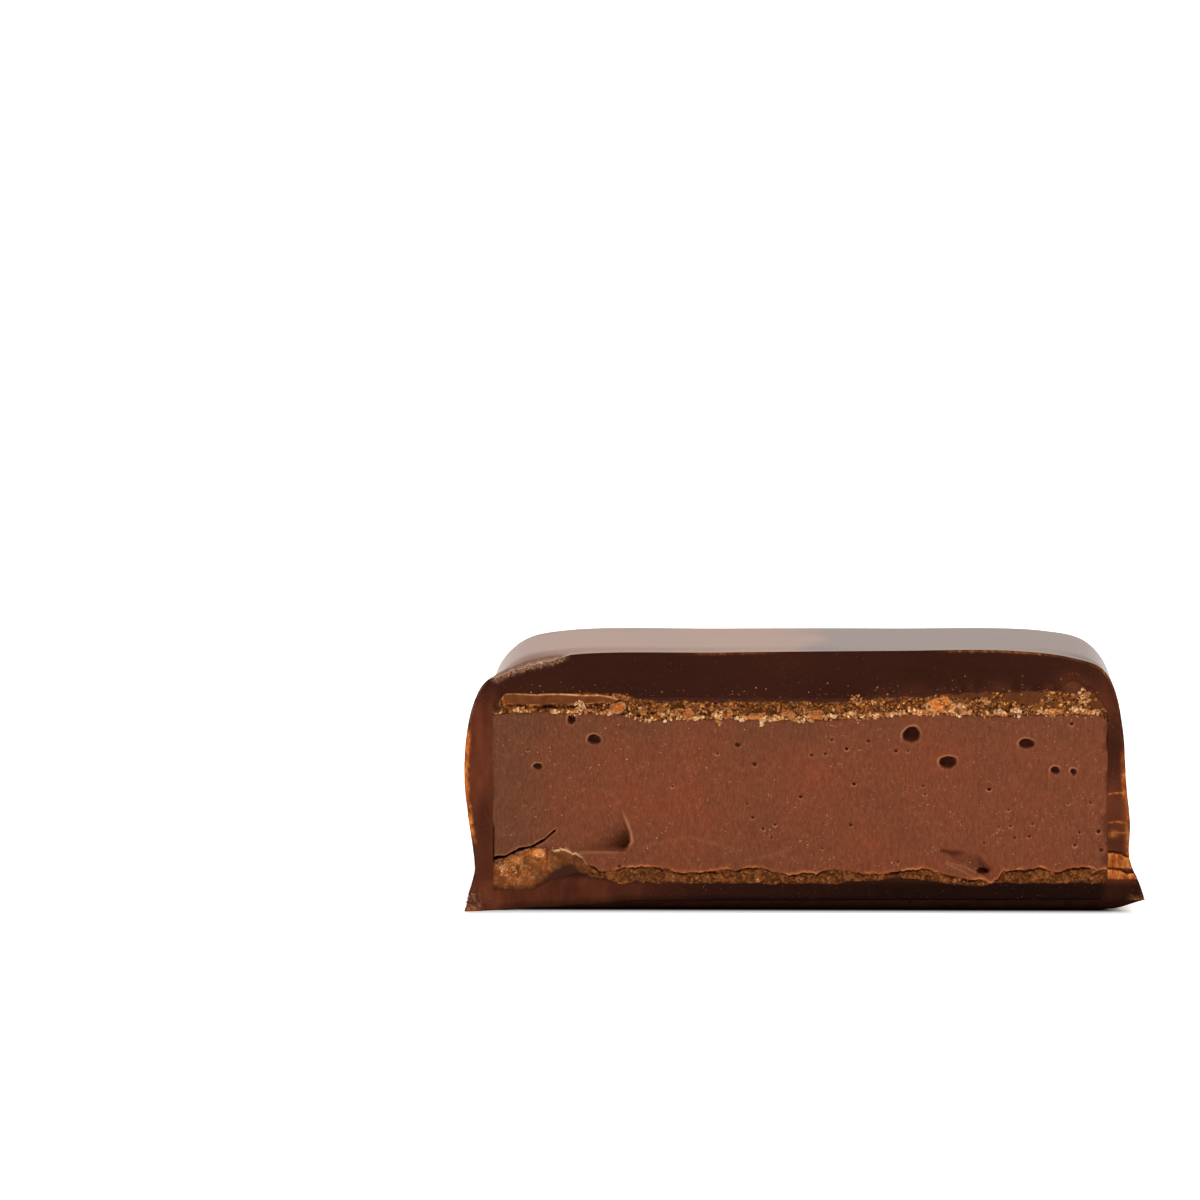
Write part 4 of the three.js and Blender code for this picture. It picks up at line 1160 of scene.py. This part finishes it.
def coat_piece(gloss, cut, base):
    rings = np.stack([ring(CUT_Y + stop) for stop in RING_STOPS])
    cap_middle = np.array([0, BACK_Y, END_MIDDLE])
    cap = []
    for share in CAP_STEPS:
        flat = cap_middle + (rings[-1] * [1, 0, 1] + [0, BACK_Y, 0] - cap_middle) * share
        flat[:, 1] += lump_out(0, flat[:, 0], flat[:, 2]) * smooth(flat[:, 2] / LUMP_FOOT)
        cap.append(flat)
    skin = np.concatenate([rings, np.stack(cap)])
    outer = rings[0][:, [0, 2]]
    inner = facing_filling()
    share = np.array(RIM_STEPS)[:, None, None]
    face = outer + (inner - outer) * share
    x, z = face[..., 0], face[..., 1]
    width = np.linalg.norm(inner - outer, axis=1)
    edge = share[..., 0] * width
    depth, masks = rim_relief(x, z, edge, width - edge)
    rim = np.stack([x, CUT_Y + np.maximum(depth, 0.0), z], axis=-1)
    rim[0] = rings[0]
    # The space for the filling, closed off behind it.
    cavity = [np.insert(inner, 1, y, axis=1) for y in CAVITY_STEPS]
    back_middle = np.array([0, CAVITY_STEPS[-1], END_MIDDLE])
    cavity.append(np.repeat(back_middle[None, :], LOOP, axis=0))
    # Loops from the middle of the far wall, over the skin and the rim, into the cavity.
    loops = np.concatenate([skin[::-1], rim[1:], np.stack(cavity)])
    count = len(loops)
    points = loops.reshape(-1, 3)
    i, j = np.meshgrid(np.arange(count - 1), np.arange(LOOP), indexing="ij")
    a, b = i * LOOP + j, i * LOOP + (j + 1) % LOOP
    quads = np.stack([a, a + LOOP, b + LOOP, b], axis=-1).reshape(-1, 4)
    skin_loops = len(skin)
    # Which material each strip of faces takes: 0 is the gloss, 1 the cut and 2 the base.
    surface = np.zeros((count - 1, LOOP), int)
    surface[len(cap):, OVER - 1:] = 2
    surface[skin_loops - 1:] = 1
    spread = np.zeros((count, LOOP))
    all_masks = {}
    for key, values in masks.items():
        mask = spread.copy()
        mask[skin_loops:skin_loops + len(values) - 1] = values[1:]
        mask[skin_loops - 1] = values[0]
        all_masks[key] = mask
    behind = points[:, 1].reshape(count, LOOP)[:skin_loops] - CUT_Y
    # The rim's painted glow runs a little way onto the skin behind the cut.
    all_masks["rim"][:skin_loops] = masks["rim"][0] * bell(behind / 0.35)
    all_masks["scrape"][:skin_loops] = masks["scrape"][0] * bell(behind / 0.3)
    milk = spread.copy()
    milk[:skin_loops] = milk_share(points[:skin_loops * LOOP]).reshape(skin_loops, LOOP)
    all_masks["milk"] = milk
    piece = add_piece("coat_shell", points, [quads], all_masks, [gloss, cut, base], surface.ravel())
    weld = bmesh.new()
    weld.from_mesh(piece.data)
    bmesh.ops.remove_doubles(weld, verts=weld.verts, dist=1e-9)
    weld.to_mesh(piece.data)
    weld.free()
    return piece


# ------------------------------------------------------------------ crumbs

def ball(subdivisions):
    made = bmesh.new()
    bmesh.ops.create_icosphere(made, subdivisions=subdivisions, radius=0.5)
    points = np.array([vertex.co for vertex in made.verts])
    faces = np.array([[vertex.index for vertex in face.verts] for face in made.faces])
    made.free()
    return points, faces


def crumbs_piece(name, bits, look, seed, subdivisions=2):
    """One joined mesh of small broken bits, each turned, stretched and chipped on its own."""
    draw = np.random.default_rng(seed)
    places, sizes, shades = bits.gathered()
    base, faces = ball(subdivisions)
    count = len(places)
    turn = draw.normal(size=(count, 4))
    w, i, j, k = (turn / np.linalg.norm(turn, axis=1, keepdims=True)).T
    turned = np.stack([
        1 - 2 * (j * j + k * k), 2 * (i * j - k * w), 2 * (i * k + j * w),
        2 * (i * j + k * w), 1 - 2 * (i * i + k * k), 2 * (j * k - i * w),
        2 * (i * k - j * w), 2 * (j * k + i * w), 1 - 2 * (i * i + j * j),
    ], axis=1).reshape(count, 3, 3)
    stretch = draw.uniform(0.6, 1.25, (count, 1, 3))
    chip = draw.uniform(0.72, 1.15, (count, len(base), 1))
    shapes = np.einsum("nij,nvj->nvi", turned, base * stretch * chip)
    points = (shapes * sizes[:, None, None] + places[:, None, :]).reshape(-1, 3)
    triangles = (faces[None] + (np.arange(count) * len(base))[:, None, None]).reshape(-1, 3)
    shade = {"shade": np.repeat(clamp01(shades), len(base))}
    return add_piece(name, points, [triangles], shade, [look], flat=True)


# Clumped batches of praline bits: how many, from x to x, how clumped, and the clumps' seed.
EDGE_BITS = (520, -13.4, 14.4, 1.0, 121)  # along the ganache's upper edge
UPPER_BITS = (620, -8.8, 14.3, 0.5, 122)
LENS_BITS = (90, -14.6, -9.2, 0.5, 123)  # under the lens
LOWER_BITS = (260, -10.6, 14.5, 0.5, 124)
CHUNK_BITS = 45
SCRAPED_BITS = 260
FOOT_BITS = 70
RIM_BITS = 110
GANACHE_BITS = 420


class Bits:
    """The places, sizes and shades of loose bits, and the draws that scatter them."""

    def __init__(self, seed):
        self.draw = np.random.default_rng(seed)
        self.batches = []

    def add(self, x, z, behind, size, shade, keep=slice(None)):
        places = np.stack(np.broadcast_arrays(x, CUT_Y + behind, z), axis=1)
        self.batches.append((places[keep], size[keep], shade[keep]))

    def clumped(self, count, low, high, clump, seed):
        """Places along x that come in clumps."""
        x = self.draw.uniform(low, high, count * 3)
        keep = self.draw.random(count * 3) < smooth(0.5 + clump * face_noise(x, x * 0, 0.9, 2, seed))
        return x[keep][:count]

    def around(self, low, high, x):
        return self.draw.uniform(low, high, len(x))

    def sizes(self, least, more, x, power=2):
        """Mostly small: the larger the power, the rarer the large ones."""
        return least + more * self.draw.random(len(x)) ** power

    def gathered(self):
        return [np.concatenate(column) for column in zip(*self.batches)]


def praline_bits(seed):
    """Loose bits in and along both praline layers."""
    bits = Bits(seed)
    draw = bits.draw
    x = bits.clumped(*EDGE_BITS)
    size = bits.sizes(0.06, 0.12, x, 2.2)
    z = ganache_top(x) + draw.normal(0.03, 0.07, len(x))
    bits.add(x, z, bits.around(0.02, 0.14, x), size, bits.around(0.3, 1.0, x))
    for x, z, wide, tall, pale in CLUMPS:
        count = int(14 + 90 * wide * tall)
        angle = draw.uniform(0, 2 * math.pi, count)
        share = np.sqrt(draw.random(count))
        across = x + wide / 2 * share * np.cos(angle)
        up = z + tall / 2 * share * np.sin(angle)
        size = bits.sizes(0.07, 0.13, up, 1.5)
        bits.add(across, up, 0.1 * share, size, pale + draw.normal(0, 0.16, count))
    x = bits.clumped(*UPPER_BITS)
    share = draw.random(len(x))
    z = ganache_top(x) + share * (np.minimum(filling_top(x), 10.7) - ganache_top(x))
    bits.add(x, z, bits.around(0.08, 0.2, x), bits.sizes(0.05, 0.12, x), bits.around(0.1, 0.85, x))
    x = bits.clumped(*LENS_BITS)
    z = 9.82 + draw.normal(0, 0.09, len(x))
    bits.add(x, z, bits.around(0.1, 0.24, x), bits.sizes(0.04, 0.1, x), bits.around(0.0, 0.65, x))
    x = bits.clumped(*LOWER_BITS)
    share = draw.random(len(x))
    z = filling_bottom(x) + share * (ganache_bottom(x) - filling_bottom(x))
    bits.add(x, z, bits.around(0.06, 0.2, x), bits.sizes(0.04, 0.09, x), bits.around(0.0, 0.7, x))
    x = -14.4 + draw.normal(0, 0.3, CHUNK_BITS)
    x = x[(x > SLAB_LEFT + 0.05) & (x < -12.5)]
    z = np.clip(1.98 + draw.normal(0, 0.16, len(x)), 1.2, None)
    bits.add(x, z, bits.around(0.03, 0.14, x), bits.sizes(0.05, 0.1, x), bits.around(0.45, 0.95, x))
    return bits


def coat_bits(seed):
    """Bits of chocolate along the scraped edge, at the left foot, and a few on the dark rim."""
    bits = Bits(seed)
    draw = bits.draw
    outline = over_curve(0.0)
    start, end = SCRAPE
    top = outline[(outline[:, 1] > 10.9) & (outline[:, 0] < 0)]
    x = draw.uniform(start + 0.1, end + 0.5, SCRAPED_BITS)
    z = np.interp(x, top[:, 0], top[:, 1]) - 0.14 - abs(draw.normal(0, 0.1, len(x)))
    bits.add(x, z, bits.around(0.0, 0.25, x), bits.sizes(0.03, 0.07, x), bits.around(0.3, 1.0, x))
    x = -16.2 + draw.normal(0, 0.16, FOOT_BITS)
    z = 0.32 + abs(draw.normal(0, 0.2, FOOT_BITS))
    bits.add(x, z, 0.03, bits.sizes(0.03, 0.06, x, 1), bits.around(0.1, 0.7, x), x > -16.5 + 0.26 * z)
    x = draw.uniform(-14, 14.5, RIM_BITS)
    z = np.minimum(filling_top(x) + abs(draw.normal(0, 0.3, RIM_BITS)), 12.3)
    bits.add(x, z, 0.02, bits.sizes(0.03, 0.06, x), bits.around(0.1, 0.9, x))
    return bits


def ganache_bits(seed):
    """Fine flecks that cling to the ganache."""
    bits = Bits(seed)
    x = bits.draw.uniform(SLAB_LEFT + 0.1, SLAB_RIGHT - 0.1, GANACHE_BITS)
    share = bits.draw.random(GANACHE_BITS)
    z = ganache_bottom(x) + 0.1 + share * (ganache_top(x) - ganache_bottom(x) - 0.2)
    outside_dent = dent_at(x, z)[0] < 0.05
    bits.add(x, z, 0.045, bits.sizes(0.028, 0.05, x, 3), bits.around(0.3, 1.0, x), outside_dent)
    return bits


# ------------------------------------------------------------------ build

def on_body(piece, slot, *replaced):
    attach(piece, BODY)
    if replaced:
        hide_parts(*replaced)


CRUMB_STOPS = [
    (0.0, (70, 36, 14)), (0.3, (112, 64, 28)), (0.55, (160, 96, 44)), (0.8, (196, 138, 84)),
    (1.0, (232, 190, 146)),
]
CHIP_STOPS = [
    (0.0, (60, 29, 19)), (0.4, (104, 56, 34)), (0.75, (170, 112, 80)), (1.0, (224, 178, 144)),
]
FLECK_STOPS = [(0.0, (120, 66, 44)), (0.6, (176, 118, 86)), (1.0, (214, 164, 130))]

praline = praline_look()
coat_shell = coat_piece(gloss_look(), cut_look(), base_look())
ganache_slab = layer_piece(
    "ganache_slab", ganache_bottom, ganache_top, GANACHE_COLUMNS, GANACHE_ROWS, ganache_relief,
    ganache_look(),
)
praline_upper = layer_piece(
    "praline_upper", ganache_top, filling_top, PRALINE_COLUMNS, TOP_ROWS, top_relief, praline,
)
praline_lower = layer_piece(
    "praline_lower", filling_bottom, ganache_bottom, PRALINE_COLUMNS, BASE_ROWS, base_relief, praline,
)
praline_crumbs = crumbs_piece("praline_crumbs", praline_bits(201), crumb_look("crumbs", CRUMB_STOPS), 202)
coat_chips = crumbs_piece("coat_chips", coat_bits(203), crumb_look("chips", CHIP_STOPS), 204)
ganache_flecks = crumbs_piece(
    "ganache_flecks", ganache_bits(205), crumb_look("flecks", FLECK_STOPS), 206, subdivisions=1,
)
on_body(coat_shell, "coat", "coat")
on_body(ganache_slab, "ganache", "ganache")
on_body(praline_upper, "praline", "praline_top")
on_body(praline_lower, "praline", "praline_base")
on_body(praline_crumbs, "praline")
on_body(coat_chips, "coat")
on_body(ganache_flecks, "ganache")


# ------------------------------------------------------------------ floor, light and camera

# A white board that glows a little, except close round the bonbon: how far outside the bonbon's
# foot each step of the board lies, and how much it glows there.
BOARD_STEPS = [(-4, 0), (0, 0), (0.3, 0.2), (0.9, 0.75), (2.2, 1), (8, 1), (20, 1), (6000, 1)]
BOARD_GLOW = 0.86
FOOT_REACH = np.array([COAT_HIGH[0] - 0.9, COAT_HIGH[1] - 1.9])


def floor_look():
    look = Look("floor_white", roughness=0.8, specular=0.1)
    look.colour = (238, 236, 234)
    look.put(look.shader.inputs["Emission Strength"], look.maths("MULTIPLY", look.mask("glow"), BOARD_GLOW))
    return look.finish(look.bump(look.noise(0.4, 2.0), 0.002))


def add_floor():
    signs = np.array([[-1, -1], [1, -1], [1, 1], [-1, 1]])
    points = [[*(sign * (FOOT_REACH + step)), BOARD] for step, glow in BOARD_STEPS for sign in signs]
    glow = np.repeat([glow for step, glow in BOARD_STEPS], 4)
    faces = [[0, 1, 2, 3]]
    for ring_start in range(0, len(points) - 4, 4):
        for corner in range(4):
            a, b = ring_start + corner, ring_start + (corner + 1) % 4
            faces.append([a + 4, b + 4, b, a])
    floor = add_piece("floor", points, [np.array(faces)], {"glow": glow}, [floor_look()])


def aim(thing, place, target):
    """Puts a light or a camera at a place, turned to face its target."""
    placed = bpy.data.objects.new(thing.name, thing)
    placed.location = place
    placed.rotation_euler = (Vector(target) - Vector(place)).to_track_quat("-Z", "Y").to_euler()
    bpy.context.scene.collection.objects.link(placed)
    return placed


# Each light's place, width and height, all in metres, with its watts and its colour.
LIGHTS = {
    "key": ((0.08, -0.27, 0.46), 0.13, 0.13, 1.35, (1.0, 0.95, 0.9)),
    "top": ((0.05, 0.12, 0.5), 0.4, 0.3, 1.2, (1.0, 0.96, 0.92)),
    "right": ((0.42, 0.16, 0.14), 0.16, 0.2, 0.6, (1.0, 0.95, 0.9)),
}
LIGHTS_AIM = (0, 0, 0.006)


def add_lights():
    for name, (place, wide, tall, watts, colour) in LIGHTS.items():
        light = bpy.data.lights.new(name, "AREA")
        light.shape = "RECTANGLE"
        light.size = wide
        light.size_y = tall
        light.energy = watts
        light.color = colour
        aim(light, place, LIGHTS_AIM)


# The sky's linear colours by height, from the horizon to overhead.
FAR_SKY = [
    (0.0, (0.94, 0.82, 0.75, 1)), (0.34, (0.94, 0.82, 0.75, 1)), (0.5, (0.3, 0.28, 0.26, 1)),
    (0.75, (0.26, 0.25, 0.24, 1)), (1.0, (0.5, 0.49, 0.48, 1)),
]
NEAR_SKY = [(0.0, (0.2, 0.18, 0.17, 1)), (0.5, (0.2, 0.19, 0.18, 1)), (1.0, (0.5, 0.49, 0.48, 1))]


def add_world():
    """A soft sky: its far side is warm and bright low down, and its near side is dim."""
    world = bpy.data.worlds.new("studio")
    world.use_nodes = True
    bpy.context.scene.world = world
    sky = Nodes(world.node_tree)
    split = sky.node("SeparateXYZ", {"Vector": sky.node("TexCoord").outputs["Generated"]}).outputs
    shifted = sky.node("Math", {0: split["Y"], 1: 0.5, 2: 0.5}, operation="MULTIPLY_ADD")
    side = sky.ramp(shifted.outputs["Value"], [(0.3, 0.0), (0.7, 1.0)])
    colour = sky.mix(side, sky.ramp(split["Z"], NEAR_SKY), sky.ramp(split["Z"], FAR_SKY))
    sky.put(sky.tree.nodes["Background"].inputs["Color"], colour)
    sky.tree.nodes["Background"].inputs["Strength"].default_value = 1.0


CAMERA_FAR = 0.450  # metres from the middle of the cut's bottom edge
CAMERA_RAISED = math.radians(6.4)
FRAME_WIDE = 0.05854  # metres across the picture at the cut face
FRAME_LEFT = 0.0100  # the picture's centre, left of and above the middle of the bottom edge
FRAME_UP = 0.01507
SENSOR = 36.0


def add_camera():
    foot = Vector((0, CUT_Y, -BOARD)) * MM
    away = Vector((0, -math.cos(CAMERA_RAISED), math.sin(CAMERA_RAISED)))
    upward = Vector((0, math.sin(CAMERA_RAISED), math.cos(CAMERA_RAISED)))
    place = foot + away * CAMERA_FAR
    centre = foot + Vector((-FRAME_LEFT, 0, 0)) + upward * FRAME_UP
    camera = bpy.data.cameras.new("camera")
    camera.sensor_width = SENSOR
    camera.lens = SENSOR * (centre - place).length / FRAME_WIDE
    camera.clip_start = 0.01
    camera.clip_end = 50
    bpy.context.scene.camera = aim(camera, place, centre)


add_floor()
add_world()
add_lights()
add_camera()
bpy.context.scene.view_settings.view_transform = "Standard"
